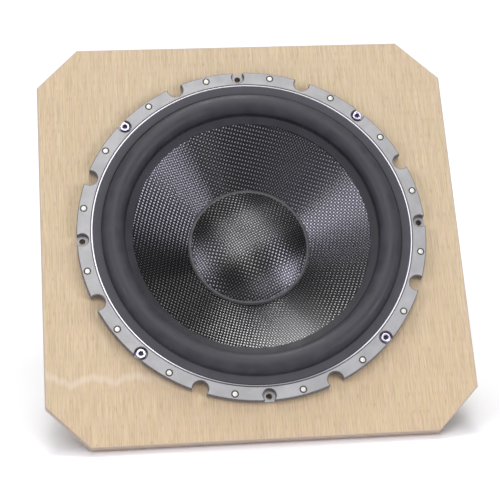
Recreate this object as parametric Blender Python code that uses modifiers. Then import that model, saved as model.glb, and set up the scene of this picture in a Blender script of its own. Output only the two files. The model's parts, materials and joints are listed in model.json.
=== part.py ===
"""Twelve-inch subwoofer driver bolted to a square plywood baffle board, leaning back on its magnet.

Sizes are metres. Each piece is laid out in the board's own frame: +X right, +Y up the board and +Z
out of its front face, whose centre is the origin. One empty leans the board back, so that the
board's rear bottom edge and the motor's rear rim both rest on the floor at Z = 0. A second empty
below it holds the driver, which is turned a little in its cut-out. Its Z axis is the joint axis.
"""

import math

import bmesh
import bpy
from mathutils import Matrix, Vector
from mathutils.geometry import interpolate_bezier

GAP = 0.0003  # between neighbouring pieces
CUT_PAST = 0.003  # how far a cutter runs past the face it opens
SEGMENTS = 48  # round the flange, surround and cone
MIDDLE_SEGMENTS = 32  # round the motor, coil, spider and cap
NOTCH_SEGMENTS = 16  # round a notch or a counterbore
SMALL_SEGMENTS = 12  # round a fastener
TINY_SEGMENTS = 8  # round a grille magnet or a hole of the vent screen
CREASE = math.radians(35)  # edges sharper than this aren't shaded smooth

# Baffle board
BOARD_SIDE = 0.380
BOARD_THICKNESS = 0.012
BOARD_CHAMFER = 0.038
CUTOUT_RADIUS = 0.143
DRIVER_TWIST = math.radians(1.2)

# Basket flange, in front of the board
FLANGE_RADIUS = 0.158
FLANGE_FACE = 0.0092
FLANGE_EDGE = 0.0006
LIP_RADIUS = 0.1438
LIP_BEVEL = 0.0014
LEDGE_INNER_RADIUS = 0.1362
LEDGE_HEIGHT = 0.0069
GASKET_INNER_RADIUS = 0.1434
GASKET_OUTER_RADIUS = 0.1467
GASKET_THICKNESS = 0.0012
BOLT_CIRCLE_RADIUS = 0.1531
BOLT_COUNT = 8
BOLT_HOLE_RADIUS = 0.00275
COUNTERBORE_RADIUS = 0.0057
COUNTERBORE_FLOOR = 0.0038
COUNTERBORE_SLOT = (0.014, 0.009)  # along the radius, and wide
NOTCH_RADIUS = 0.0071
NOTCH_CENTRE = 0.155
GRILLE_MAGNET_COUNT = 16
GRILLE_MAGNET_RADIUS = 0.0025
GRILLE_MAGNET_DEPTH = 0.003

# Basket behind the board
BARREL_RADIUS = 0.1418
BARREL_WALL = 0.0035
BARREL_DEPTH = 0.014
SPOKE_COUNT = 6
SPOKE_WIDTH = 0.014
SPOKE_TOP = -0.006
SPOKE_UPPER = (0.1415, -0.0200)  # ends of the spoke's rear edge, as radius and height
SPOKE_LOWER = (0.0920, -0.0790)
SPOKE_FOOT = (0.0830, -0.0725)
SPOKE_FRONT = ((0.0880, -0.0685), (0.1393, -0.0105))  # ends of its front edge
SPIDER_SHELF = -0.0708
SPIDER_SHELF_RADIUS = 0.0775
SPIDER_RIM_RADIUS = 0.086
SPIDER_RIM_HEIGHT = 0.0033
BOWL_RADIUS = 0.0905
BOWL_FOOT_RADIUS = 0.080
BOWL_FOOT_HEIGHT = 0.005
BOWL_MOUTH_RADIUS = 0.0445
BOWL_FLOOR = -0.0995
BOWL_FLOOR_RADIUS = 0.0735
BOWL_VENT = (0.026, 0.026, 0.012)  # along the radius, wide and high
BOWL_VENT_RADIUS = 0.080
BOWL_VENT_HEIGHT = -0.085

# Cone assembly
CONE_SLOPE = 0.6885
CONE_THICKNESS = 0.00145
CONE_NECK_RADIUS = 0.0385
CONE_EDGE_RADIUS = 0.117
CONE_EDGE_SLOPE = 0.434
WEAVE_RADIUS = 0.1064
CAP_RADIUS = 0.056
CAP_FOOT_HEIGHT = -0.0347
CAP_RISE = 0.015
CAP_THICKNESS = 0.001
CAP_STEPS = 5
FORMER_RADIUS = 0.0381
FORMER_WALL = 0.0006
FORMER_TOP = -0.0445
FORMER_BOTTOM = -0.129
WINDING_RADIUS = 0.0402
WINDING_LENGTH = 0.032

# Surround and spider
LIP_THICKNESS = 0.0012
ROLL_INNER_RADIUS = 0.1155
ROLL_OUTER_RADIUS = 0.1351
SURROUND_TOP = 0.009
SURROUND_THICKNESS = 0.0018
ROLL_THICKNESS = 0.0013
ROLL_POINTS = 6
SPIDER_INNER_RADIUS = 0.0385
SPIDER_OUTER_RADIUS = 0.0855
SPIDER_THICKNESS = 0.0009
SPIDER_WAVES = 3
SPIDER_WAVE_HEIGHT = 0.0022
SPIDER_WAVE_RADII = (0.043, 0.076)

# Motor
MOTOR_RADIUS = 0.070
MOTOR_DEPTH = 0.178
PLATE_CHAMFER = 0.001
TOP_PLATE_FACE = -0.105
TOP_PLATE_THICKNESS = 0.012
TOP_PLATE_BORE = 0.0412
MAGNET_RADIUS = 0.073
MAGNET_BORE = 0.047
MAGNET_THICKNESS = 0.0242
BACK_PLATE_FACE = -0.166
POLE_RADIUS = 0.0356
POLE_TOP = -0.103
VENT_RADIUS = 0.016
VENT_RECESS_RADIUS = 0.019
VENT_RECESS_DEPTH = 0.0035
SCREEN_THICKNESS = 0.001
SCREEN_HOLE_RADIUS = 0.0036
SCREEN_HOLE_CIRCLE = 0.011
SCREEN_HOLE_COUNT = 6  # round the middle hole
SLEEVE_WALL = 0.0009
SLEEVE_BOTTOM = -0.150
MOTOR_SCREW_COUNT = 6
MOTOR_SCREW_CIRCLE = 0.058
MOTOR_SCREW_HOLE_DEPTH = 0.0102

# Socket-head screws, M5
SCREW_HEAD_RADIUS = 0.00425
SCREW_HEAD_HEIGHT = 0.005
SCREW_EDGE = 0.0004
SCREW_SHANK_RADIUS = 0.00245
SCREW_SOCKET_WIDTH = 0.004
SCREW_SOCKET_DEPTH = 0.0026
MOUNTING_SCREW_LENGTH = 0.020
MOTOR_SCREW_LENGTH = 0.015
TEE_NUT_BARREL_RADIUS = 0.00325
TEE_NUT_BARREL_TOP = -0.0045
TEE_NUT_PLATE_RADIUS = 0.0085
TEE_NUT_PLATE_THICKNESS = 0.0012

# Terminal block on the top spoke
TERMINAL_BLOCK = (0.036, 0.022, 0.005)
TERMINAL_TAB = (0.0063, 0.030, 0.0008)
TERMINAL_TAB_SHIFT = -0.0025
TERMINAL_SPACING = 0.022
LEAD_RADIUS = 0.0011
LEAD_POINTS = 14
LEAD_NECK_HEIGHT = -0.057
LEAD_NECK_SIDE = 0.009
LEAD_START_REACH = 0.016  # how far each end runs on before the lead bends
LEAD_END_REACH = (0, 0.032, 0.012)

# The board's rear bottom edge and the chamfered rear rim of the motor touch the floor.
REST_DEPTH = MOTOR_DEPTH - PLATE_CHAMFER
LEAN = math.atan2(BOARD_SIDE / 2 - MOTOR_RADIUS, REST_DEPTH - BOARD_THICKNESS)

for leftover in list(bpy.data.objects):
    bpy.data.objects.remove(leftover)

PARTS = bpy.data.collections.new("subwoofer_on_baffle_board")
CUTTERS = bpy.data.collections.new("cutters")
for group in (PARTS, CUTTERS):
    bpy.context.scene.collection.children.link(group)


def empty(name, parent=None):
    """An empty that places the pieces under it."""
    obj = bpy.data.objects.new(name, None)
    obj.parent = parent
    PARTS.objects.link(obj)
    return obj


BOARD_FRAME = empty("board_frame")
BOARD_FRAME.rotation_euler.x = math.pi / 2 - LEAN
front_reach = BOARD_SIDE / 2 * math.sin(LEAN)
rear_reach = (MOTOR_RADIUS - PLATE_CHAMFER) * math.sin(LEAN) + MOTOR_DEPTH * math.cos(LEAN)
rest_height = BOARD_SIDE / 2 * math.cos(LEAN) + BOARD_THICKNESS * math.sin(LEAN)
BOARD_FRAME.location = (0, (front_reach - rear_reach) / 2, rest_height)

DRIVER_AXIS = empty("driver_axis", BOARD_FRAME)
DRIVER_AXIS.rotation_euler.z = DRIVER_TWIST


def material(name, colour, roughness, metallic=0.0):
    """A Principled material with one colour."""
    made = bpy.data.materials.new(name)
    made.use_nodes = True
    shader = made.node_tree.nodes["Principled BSDF"]
    shader.inputs["Base Color"].default_value = (*colour, 1)
    shader.inputs["Roughness"].default_value = roughness
    shader.inputs["Metallic"].default_value = metallic
    return made


PLYWOOD = material("plywood", (0.66, 0.48, 0.29), 0.6)
CAST_ALUMINIUM = material("cast_aluminium", (0.50, 0.50, 0.50), 0.38, 0.9)
FOAM = material("gasket_foam", (0.03, 0.03, 0.03), 0.9)
RUBBER = material("surround_rubber", (0.045, 0.045, 0.048), 0.45)
CARBON = material("carbon_weave", (0.02, 0.02, 0.022), 0.28)
SPIDER_CLOTH = material("spider_cloth", (0.50, 0.36, 0.16), 0.85)
FORMER_FILM = material("former_film", (0.30, 0.17, 0.05), 0.4)
COPPER = material("copper", (0.70, 0.30, 0.16), 0.3, 1.0)
BLACK_STEEL = material("black_plated_steel", (0.05, 0.05, 0.055), 0.35, 0.8)
FERRITE = material("ferrite", (0.06, 0.06, 0.065), 0.65)
CHROME = material("chrome", (0.80, 0.80, 0.82), 0.12, 1.0)
ZINC = material("zinc_plate", (0.62, 0.62, 0.60), 0.3, 1.0)
NICKEL = material("bright_nickel", (0.85, 0.84, 0.82), 0.2, 1.0)
PHENOLIC = material("phenolic_board", (0.10, 0.05, 0.03), 0.55)
BRASS = material("brass", (0.75, 0.55, 0.22), 0.3, 1.0)
TINSEL = material("tinsel_braid", (0.72, 0.62, 0.45), 0.5, 0.7)


def place(name, mesh, finish, parent=DRIVER_AXIS, group=PARTS):
    """An object for this mesh, under one of the two empties."""
    obj = bpy.data.objects.new(name, mesh)
    obj.parent = parent
    if finish:
        mesh.materials.append(finish)
    group.objects.link(obj)
    return obj


def turned(name, outline, finish, segments=SEGMENTS, closed=True, group=PARTS):
    """A solid of revolution about Z. The outline's (radius, height) points run down its outer side."""
    mesh = bpy.data.meshes.new(name)
    count = len(outline)
    edges = [(i, (i + 1) % count) for i in range(count if closed else count - 1)]
    mesh.from_pydata([(radius, 0, height) for radius, height in outline], edges, [])
    obj = place(name, mesh, finish, group=group)
    screw = obj.modifiers.new("turn", "SCREW")
    screw.steps = screw.render_steps = segments
    screw.use_merge_vertices = True
    screw.merge_threshold = 0.00001
    return obj


def tube(name, inner, outer, top, bottom, finish, segments=MIDDLE_SEGMENTS):
    """A plain ring or tube."""
    outline = [(inner, top), (outer, top), (outer, bottom), (inner, bottom)]
    return turned(name, outline, finish, segments)


def flat_outline(name, points, thickness, finish, parent=DRIVER_AXIS, group=PARTS, matrix=None):
    """A flat plate with this outline, centred on its own XY plane, as a closed mesh."""
    curve = bpy.data.curves.new(name, "CURVE")
    curve.dimensions = "2D"
    curve.fill_mode = "BOTH"
    curve.extrude = thickness / 2
    spline = curve.splines.new("POLY")
    spline.points.add(len(points) - 1)
    for point, (x, y) in zip(spline.points, points):
        point.co = (x, y, 0, 1)
    spline.use_cyclic_u = True
    guide = bpy.data.objects.new(name + "_outline", curve)
    CUTTERS.objects.link(guide)
    bpy.context.view_layer.update()
    graph = bpy.context.evaluated_depsgraph_get()
    mesh = bpy.data.meshes.new_from_object(guide.evaluated_get(graph))
    bpy.data.objects.remove(guide)
    cage = bmesh.new()
    cage.from_mesh(mesh)
    bmesh.ops.remove_doubles(cage, verts=cage.verts, dist=0.00001)
    bmesh.ops.transform(cage, matrix=matrix or Matrix(), verts=cage.verts)
    cage.to_mesh(mesh)
    cage.free()
    obj = place(name, mesh, finish, parent, group)
    return obj


def around(angle, radius=0.0, height=0.0):
    """A matrix that turns a shape about Z and sets it at this radius and height."""
    return Matrix.Rotation(angle, 4, "Z") @ Matrix.Translation((radius, 0, height))


def add_cylinder(cage, matrix, radius, top, bottom, segments=SMALL_SEGMENTS):
    """Adds a closed cylinder along Z to a bmesh."""
    middle = Matrix.Translation((0, 0, (top + bottom) / 2))
    bmesh.ops.create_cone(
        cage,
        cap_ends=True,
        segments=segments,
        radius1=radius,
        radius2=radius,
        depth=top - bottom,
        matrix=matrix @ middle,
    )


def add_box(cage, matrix, size):
    """Adds a closed box, centred on the matrix, to a bmesh."""
    scale = Matrix.Diagonal((*size, 1))
    bmesh.ops.create_cube(cage, size=1, matrix=matrix @ scale)


def shape(name, cage, finish=None, group=PARTS):
    """An object from a finished bmesh."""
    mesh = bpy.data.meshes.new(name)
    cage.to_mesh(mesh)
    cage.free()
    return place(name, mesh, finish, group=group)


def combine(obj, other, operation):
    """Cuts or joins another solid, which then stays as a hidden helper."""
    modifier = obj.modifiers.new(other.name, "BOOLEAN")
    modifier.operation = operation
    modifier.object = other


def bolt_angles():
    """The eight holes of the flange, from the right-hand one anticlockwise."""
    return [math.tau * i / BOLT_COUNT for i in range(BOLT_COUNT)]


def screw_angles():
    """The four diagonal holes, which hold the mounting screws."""
    return bolt_angles()[1::2]


def grille_magnet_angles():
    """Two magnets between each pair of holes, a quarter and three quarters of the way round."""
    step = math.tau / GRILLE_MAGNET_COUNT
    return [(i + 0.5) * step for i in range(GRILLE_MAGNET_COUNT)]


def cone_height(radius):
    """Height of the cone's front surface, which is flatter where the surround is glued on."""
    weave_height = CAP_FOOT_HEIGHT + CONE_SLOPE * (WEAVE_RADIUS - CAP_RADIUS)
    slope = CONE_SLOPE if radius < WEAVE_RADIUS else CONE_EDGE_SLOPE
    return weave_height + slope * (radius - WEAVE_RADIUS)


def baffle_board():
    """Square plywood with cut corners, a round cut-out and a hole behind each hole of the flange."""
    half = BOARD_SIDE / 2
    cut = half - BOARD_CHAMFER
    corners = [(cut, -half), (half, -cut), (half, cut), (cut, half)]
    outline = corners + [(-x, -y) for x, y in corners]
    middle = Matrix.Translation((0, 0, -BOARD_THICKNESS / 2))
    board = flat_outline(
        "baffle_board", outline, BOARD_THICKNESS, PLYWOOD, parent=BOARD_FRAME, matrix=middle
    )
    cage = bmesh.new()
    add_cylinder(cage, Matrix(), CUTOUT_RADIUS, BOARD_THICKNESS, -2 * BOARD_THICKNESS, SEGMENTS)
    for number, angle in enumerate(bolt_angles()):
        has_nut = number % 2
        radius = TEE_NUT_BARREL_RADIUS + GAP if has_nut else BOLT_HOLE_RADIUS
        spot = around(angle, BOLT_CIRCLE_RADIUS)
        add_cylinder(cage, spot, radius, BOARD_THICKNESS, -2 * BOARD_THICKNESS)
    combine(board, shape("board_cuts", cage, group=CUTTERS), "DIFFERENCE")


def gasket():
    """Foam ring in a recess under the flange, inside the bolt circle."""
    top = GAP + GASKET_THICKNESS
    tube("flange_gasket", GASKET_INNER_RADIUS, GASKET_OUTER_RADIUS, top, GAP, FOAM, SEGMENTS)


def basket_outline():
    """The flange, the ledge for the surround and the barrel through the cut-out."""
    recess_top = GAP + GASKET_THICKNESS + GAP
    return [
        (LIP_RADIUS, FLANGE_FACE - FLANGE_EDGE),
        (LIP_RADIUS + LIP_BEVEL, FLANGE_FACE),
        (FLANGE_RADIUS - FLANGE_EDGE, FLANGE_FACE),
        (FLANGE_RADIUS, FLANGE_FACE - FLANGE_EDGE),
        (FLANGE_RADIUS, GAP),
        (GASKET_OUTER_RADIUS + GAP, GAP),
        (GASKET_OUTER_RADIUS + GAP, recess_top),
        (BARREL_RADIUS, recess_top),
        (BARREL_RADIUS, -BARREL_DEPTH),
        (BARREL_RADIUS - BARREL_WALL, -BARREL_DEPTH),
        (LEDGE_INNER_RADIUS, recess_top),
        (LEDGE_INNER_RADIUS, LEDGE_HEIGHT),
        (LIP_RADIUS, LEDGE_HEIGHT),
    ]


def bowl_outline():
    """The lower bowl: the spider's shelf, a tapering wall and the seat on the motor's top plate."""
    seat = TOP_PLATE_FACE + GAP
    rim_top = SPIDER_SHELF + SPIDER_RIM_HEIGHT
    return [
        (SPIDER_SHELF_RADIUS, SPIDER_SHELF),
        (SPIDER_RIM_RADIUS, SPIDER_SHELF),
        (SPIDER_RIM_RADIUS, rim_top),
        (BOWL_RADIUS, rim_top),
        (BOWL_RADIUS, SPIDER_SHELF - 0.002),
        (BOWL_FOOT_RADIUS, seat + BOWL_FOOT_HEIGHT),
        (BOWL_FOOT_RADIUS, seat),
        (BOWL_MOUTH_RADIUS, seat),
        (BOWL_MOUTH_RADIUS, BOWL_FLOOR),
        (BOWL_FLOOR_RADIUS, BOWL_FLOOR),
    ]


def spoke_outline():
    """Side view of one spoke, as (radius, height) points, run into the barrel and the bowl."""
    outer = SPOKE_UPPER[0]
    foot = SPOKE_FOOT[0]
    return [
        (outer - 0.0015, SPOKE_TOP),
        (outer, SPOKE_TOP),
        SPOKE_UPPER,
        SPOKE_LOWER,
        (foot, SPOKE_LOWER[1]),
        SPOKE_FOOT,
        *SPOKE_FRONT,
    ]


def upright(angle):
    """Turns a plate drawn as (radius, height) so that its outline stands in a plane through Z."""
    return Matrix.Rotation(angle, 4, "Z") @ Matrix.Rotation(math.pi / 2, 4, "X")


def spoke_angles():
    """Six spokes, with one at the top for the terminal block."""
    return [math.tau * (i + 0.5) / SPOKE_COUNT for i in range(SPOKE_COUNT)]


def flange_cuts():
    """Holes with open counterbores, through notches and magnet pockets, all from the flange."""
    above = FLANGE_FACE + CUT_PAST
    half_step = math.pi / BOLT_COUNT
    slot_length, slot_width = COUNTERBORE_SLOT
    slot_depth = above - COUNTERBORE_FLOOR
    slot_middle = COUNTERBORE_FLOOR + slot_depth / 2
    pocket_floor = FLANGE_FACE - GRILLE_MAGNET_DEPTH - GAP
    bores, counterbores, slots, notches, pockets = (bmesh.new() for _ in range(5))
    for angle in bolt_angles():
        spot = around(angle, BOLT_CIRCLE_RADIUS)
        beyond = around(angle, BOLT_CIRCLE_RADIUS + slot_length / 2, slot_middle)
        between = around(angle + half_step, NOTCH_CENTRE)
        add_cylinder(bores, spot, BOLT_HOLE_RADIUS, above, -CUT_PAST)
        add_cylinder(counterbores, spot, COUNTERBORE_RADIUS, above, COUNTERBORE_FLOOR, NOTCH_SEGMENTS)
        add_box(slots, beyond, (slot_length, slot_width, slot_depth))
        add_cylinder(notches, between, NOTCH_RADIUS, above, -CUT_PAST, NOTCH_SEGMENTS)
    for angle in grille_magnet_angles():
        spot = around(angle, BOLT_CIRCLE_RADIUS)
        add_cylinder(pockets, spot, GRILLE_MAGNET_RADIUS + GAP, above, pocket_floor, TINY_SEGMENTS)
    return (
        shape("bolt_hole_cuts", bores, group=CUTTERS),
        shape("counterbore_cuts", counterbores, group=CUTTERS),
        shape("counterbore_slots", slots, group=CUTTERS),
        shape("notch_cuts", notches, group=CUTTERS),
        shape("magnet_pockets", pockets, group=CUTTERS),
    )


def bowl_cuts():
    """Air vents in the bowl's wall between the spokes, and holes for the motor screws."""
    vents = bmesh.new()
    for number in range(SPOKE_COUNT):
        middle = around(math.tau * number / SPOKE_COUNT, BOWL_VENT_RADIUS, BOWL_VENT_HEIGHT)
        add_box(vents, middle, BOWL_VENT)
    holes = bmesh.new()
    for number in range(MOTOR_SCREW_COUNT):
        spot = around(math.tau * number / MOTOR_SCREW_COUNT, MOTOR_SCREW_CIRCLE)
        add_cylinder(holes, spot, BOLT_HOLE_RADIUS, BOWL_FLOOR + CUT_PAST, TOP_PLATE_FACE - CUT_PAST)
    return (
        shape("bowl_vents", vents, group=CUTTERS),
        shape("motor_screw_holes", holes, group=CUTTERS),
    )


def basket():
    """Cast frame: scalloped flange, barrel, six spokes and the bowl that holds spider and motor."""
    frame = turned("basket", basket_outline(), CAST_ALUMINIUM)
    bowl = turned("bowl", bowl_outline(), None, MIDDLE_SEGMENTS, group=CUTTERS)
    combine(frame, bowl, "UNION")
    for number, angle in enumerate(spoke_angles(), 1):
        spoke = flat_outline(
            f"spoke_{number}", spoke_outline(), SPOKE_WIDTH, None, group=CUTTERS, matrix=upright(angle)
        )
        combine(frame, spoke, "UNION")
    for cutter in (*flange_cuts(), *bowl_cuts()):
        combine(frame, cutter, "DIFFERENCE")


def grille_magnets():
    """Sixteen small magnets, flush with the flange's face, that hold a grille on."""
    for number, angle in enumerate(grille_magnet_angles(), 1):
        cage = bmesh.new()
        spot = around(angle, BOLT_CIRCLE_RADIUS)
        bottom = FLANGE_FACE - GRILLE_MAGNET_DEPTH
        add_cylinder(cage, spot, GRILLE_MAGNET_RADIUS, FLANGE_FACE, bottom, TINY_SEGMENTS)
        shape(f"grille_magnet_{number:02d}", cage, NICKEL)


def socket_screw(name, angle, radius, seat, length, finish):
    """A socket-head screw along Z, with its head standing on the height seat."""
    top = seat + SCREW_HEAD_HEIGHT
    outline = [
        (0, top),
        (SCREW_HEAD_RADIUS - SCREW_EDGE, top),
        (SCREW_HEAD_RADIUS, top - SCREW_EDGE),
        (SCREW_HEAD_RADIUS, seat),
        (SCREW_SHANK_RADIUS, seat),
        (SCREW_SHANK_RADIUS, seat - length + SCREW_EDGE),
        (SCREW_SHANK_RADIUS - SCREW_EDGE, seat - length),
        (0, seat - length),
    ]
    screw = turned(name, outline, finish, SMALL_SEGMENTS, closed=False)
    screw.matrix_basis = around(angle, radius)
    cage = bmesh.new()
    socket_radius = SCREW_SOCKET_WIDTH / math.sqrt(3)
    add_cylinder(cage, around(angle, radius), socket_radius, top + CUT_PAST, top - SCREW_SOCKET_DEPTH, 6)
    combine(screw, shape(name + "_socket", cage, group=CUTTERS), "DIFFERENCE")


def tee_nut(name, angle):
    """A tee nut pressed in from behind the board."""
    plate_top = -BOARD_THICKNESS - GAP
    plate_bottom = plate_top - TEE_NUT_PLATE_THICKNESS
    outline = [
        (BOLT_HOLE_RADIUS, TEE_NUT_BARREL_TOP),
        (TEE_NUT_BARREL_RADIUS, TEE_NUT_BARREL_TOP),
        (TEE_NUT_BARREL_RADIUS, plate_top),
        (TEE_NUT_PLATE_RADIUS, plate_top),
        (TEE_NUT_PLATE_RADIUS, plate_bottom),
        (BOLT_HOLE_RADIUS, plate_bottom),
    ]
    nut = turned(name, outline, ZINC, SMALL_SEGMENTS)
    nut.matrix_basis = around(angle, BOLT_CIRCLE_RADIUS)


def mounting_hardware():
    """Four screws through the flange and the board into tee nuts."""
    for number, angle in enumerate(screw_angles(), 1):
        socket_screw(
            f"mounting_screw_{number}",
            angle,
            BOLT_CIRCLE_RADIUS,
            COUNTERBORE_FLOOR + GAP,
            MOUNTING_SCREW_LENGTH,
            CHROME,
        )
        tee_nut(f"tee_nut_{number}", angle)


def roll_arc(offset):
    """Points over the surround's half roll, from its inner foot to its outer foot."""
    inner = Vector((ROLL_INNER_RADIUS, cone_height(ROLL_INNER_RADIUS) + LIP_THICKNESS))
    outer = Vector((ROLL_OUTER_RADIUS, SURROUND_TOP))
    centre = (inner + outer) / 2
    across = (outer - inner) / 2
    upward = Vector((-across.y, across.x))
    scale = 1 - offset / across.length
    points = []
    for step in range(1, ROLL_POINTS):
        angle = math.pi * step / ROLL_POINTS
        point = centre + scale * (upward * math.sin(angle) - across * math.cos(angle))
        points.append((point.x, point.y))
    return points


def surround():
    """Rubber half roll: a lip glued to the cone, the roll, and a flat band glued to the ledge."""
    band_radius = LIP_RADIUS - GAP
    band_bottom = SURROUND_TOP - SURROUND_THICKNESS
    top = [(WEAVE_RADIUS, cone_height(WEAVE_RADIUS) + LIP_THICKNESS)]
    top += [(ROLL_INNER_RADIUS, cone_height(ROLL_INNER_RADIUS) + LIP_THICKNESS)]
    top += roll_arc(0) + [(ROLL_OUTER_RADIUS, SURROUND_TOP), (band_radius, SURROUND_TOP)]
    underside = roll_arc(ROLL_THICKNESS) + [(LEDGE_INNER_RADIUS, band_bottom)]
    foot = ROLL_INNER_RADIUS + ROLL_THICKNESS
    bottom = [(band_radius, band_bottom)] + underside[::-1]
    bottom += [(foot, cone_height(foot) + GAP), (WEAVE_RADIUS, cone_height(WEAVE_RADIUS) + GAP)]
    turned("surround", top + bottom, RUBBER)


def spider():
    """Corrugated cloth disc that centres the voice coil, glued to the basket's shelf."""
    flat = SPIDER_SHELF + GAP + SPIDER_THICKNESS
    first, last = SPIDER_WAVE_RADII
    waves = 2 * SPIDER_WAVES
    top = [(SPIDER_INNER_RADIUS, flat)]
    for step in range(waves + 1):
        radius = first + (last - first) * step / waves
        swing = (0 if step in (0, waves) else SPIDER_WAVE_HEIGHT) * (-1) ** step
        top.append((radius, flat - swing))
    top.append((SPIDER_OUTER_RADIUS, flat))
    bottom = [(radius, height - SPIDER_THICKNESS) for radius, height in reversed(top)]
    turned("spider", top + bottom, SPIDER_CLOTH, MIDDLE_SEGMENTS)


def cone():
    """Woven cone, one straight taper with a flatter edge under the surround's lip."""
    radii = (CONE_NECK_RADIUS, WEAVE_RADIUS, CONE_EDGE_RADIUS)
    front = [(radius, cone_height(radius)) for radius in radii]
    back = [(radius, height - CONE_THICKNESS) for radius, height in reversed(front)]
    turned("cone", front + back, CARBON)


def dust_cap():
    """Woven dome over the voice coil, glued to the cone's face."""
    sphere_radius = (CAP_RADIUS**2 + CAP_RISE**2) / (2 * CAP_RISE)
    rim_angle = math.asin(CAP_RADIUS / sphere_radius)
    rim_height = cone_height(CAP_RADIUS) + GAP + CAP_THICKNESS
    centre = rim_height + CAP_RISE - sphere_radius

    def arc(radius):
        angles = [rim_angle * step / CAP_STEPS for step in range(CAP_STEPS + 1)]
        return [(radius * math.sin(angle), centre + radius * math.cos(angle)) for angle in angles]

    back = arc(sphere_radius - CAP_THICKNESS)
    outline = arc(sphere_radius) + back[::-1]
    turned("dust_cap", outline, CARBON, MIDDLE_SEGMENTS, closed=False)


def voice_coil():
    """The former, glued into the cone's neck, and the winding round its lower end."""
    inner = FORMER_RADIUS - FORMER_WALL
    tube("voice_coil_former", inner, FORMER_RADIUS, FORMER_TOP, FORMER_BOTTOM, FORMER_FILM)
    middle = TOP_PLATE_FACE - TOP_PLATE_THICKNESS / 2
    top = middle + WINDING_LENGTH / 2
    bottom = middle - WINDING_LENGTH / 2
    tube("voice_coil_winding", FORMER_RADIUS + GAP, WINDING_RADIUS, top, bottom, COPPER)


def chamfered_ring(name, inner, outer, top, bottom, finish):
    """A steel plate or magnet ring with its outer edges broken."""
    outline = [
        (inner, top),
        (outer - PLATE_CHAMFER, top),
        (outer, top - PLATE_CHAMFER),
        (outer, bottom + PLATE_CHAMFER),
        (outer - PLATE_CHAMFER, bottom),
        (inner, bottom),
    ]
    return turned(name, outline, finish, MIDDLE_SEGMENTS)


def motor():
    """Top plate, two ferrite rings, back plate with its vented pole, copper sleeve and vent screen."""
    bottom = TOP_PLATE_FACE - TOP_PLATE_THICKNESS
    plate = chamfered_ring(
        "top_plate", TOP_PLATE_BORE, MOTOR_RADIUS, TOP_PLATE_FACE, bottom, BLACK_STEEL
    )
    cage = bmesh.new()
    for number in range(MOTOR_SCREW_COUNT):
        spot = around(math.tau * number / MOTOR_SCREW_COUNT, MOTOR_SCREW_CIRCLE)
        floor = TOP_PLATE_FACE - MOTOR_SCREW_HOLE_DEPTH
        add_cylinder(cage, spot, BOLT_HOLE_RADIUS, TOP_PLATE_FACE + CUT_PAST, floor)
    combine(plate, shape("top_plate_holes", cage, group=CUTTERS), "DIFFERENCE")
    for name in ("front_magnet", "rear_magnet"):
        top = bottom - GAP
        bottom = top - MAGNET_THICKNESS
        chamfered_ring(name, MAGNET_BORE, MAGNET_RADIUS, top, bottom, FERRITE)
    back_plate()
    inner = POLE_RADIUS + GAP
    tube("shorting_sleeve", inner, inner + SLEEVE_WALL, POLE_TOP, SLEEVE_BOTTOM, COPPER)
    vent_screen()


def back_plate():
    """The rear plate and the pole in one piece, with a vent along its axis."""
    recess_floor = -MOTOR_DEPTH + VENT_RECESS_DEPTH
    outline = [
        (VENT_RADIUS, POLE_TOP),
        (POLE_RADIUS, POLE_TOP),
        (POLE_RADIUS, BACK_PLATE_FACE),
        (MOTOR_RADIUS - PLATE_CHAMFER, BACK_PLATE_FACE),
        (MOTOR_RADIUS, BACK_PLATE_FACE - PLATE_CHAMFER),
        (MOTOR_RADIUS, -REST_DEPTH),
        (MOTOR_RADIUS - PLATE_CHAMFER, -MOTOR_DEPTH),
        (VENT_RECESS_RADIUS, -MOTOR_DEPTH),
        (VENT_RECESS_RADIUS, recess_floor),
        (VENT_RADIUS, recess_floor),
    ]
    turned("back_plate", outline, BLACK_STEEL, MIDDLE_SEGMENTS)


def vent_screen():
    """Perforated disc in the recess at the rear of the pole vent."""
    top = -MOTOR_DEPTH + VENT_RECESS_DEPTH - GAP
    bottom = top - SCREEN_THICKNESS
    cage = bmesh.new()
    add_cylinder(cage, Matrix(), VENT_RECESS_RADIUS - 2 * GAP, top, bottom, MIDDLE_SEGMENTS)
    screen = shape("pole_vent_screen", cage, BLACK_STEEL)
    step = math.tau / SCREEN_HOLE_COUNT
    spots = [around(number * step, SCREEN_HOLE_CIRCLE) for number in range(SCREEN_HOLE_COUNT)]
    holes = bmesh.new()
    for spot in (Matrix(), *spots):
        add_cylinder(holes, spot, SCREEN_HOLE_RADIUS, top + CUT_PAST, bottom - CUT_PAST, TINY_SEGMENTS)
    combine(screen, shape("vent_screen_holes", holes, group=CUTTERS), "DIFFERENCE")


def motor_screws():
    """Screws from inside the bowl into the top plate."""
    for number in range(MOTOR_SCREW_COUNT):
        socket_screw(
            f"motor_screw_{number + 1}",
            math.tau * number / MOTOR_SCREW_COUNT,
            MOTOR_SCREW_CIRCLE,
            BOWL_FLOOR + GAP,
            MOTOR_SCREW_LENGTH,
            BLACK_STEEL,
        )


def terminal_frame():
    """The middle of the top spoke's rear face: X across it, Y down along it and Z away from it."""
    upper, lower = Vector((0, *SPOKE_UPPER)), Vector((0, *SPOKE_LOWER))
    along = (lower - upper).normalized()
    across = Vector((1, 0, 0))
    away = across.cross(along)
    rows = Matrix((across, along, away)).transposed().to_4x4()
    return Matrix.Translation((upper + lower) / 2) @ rows


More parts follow.
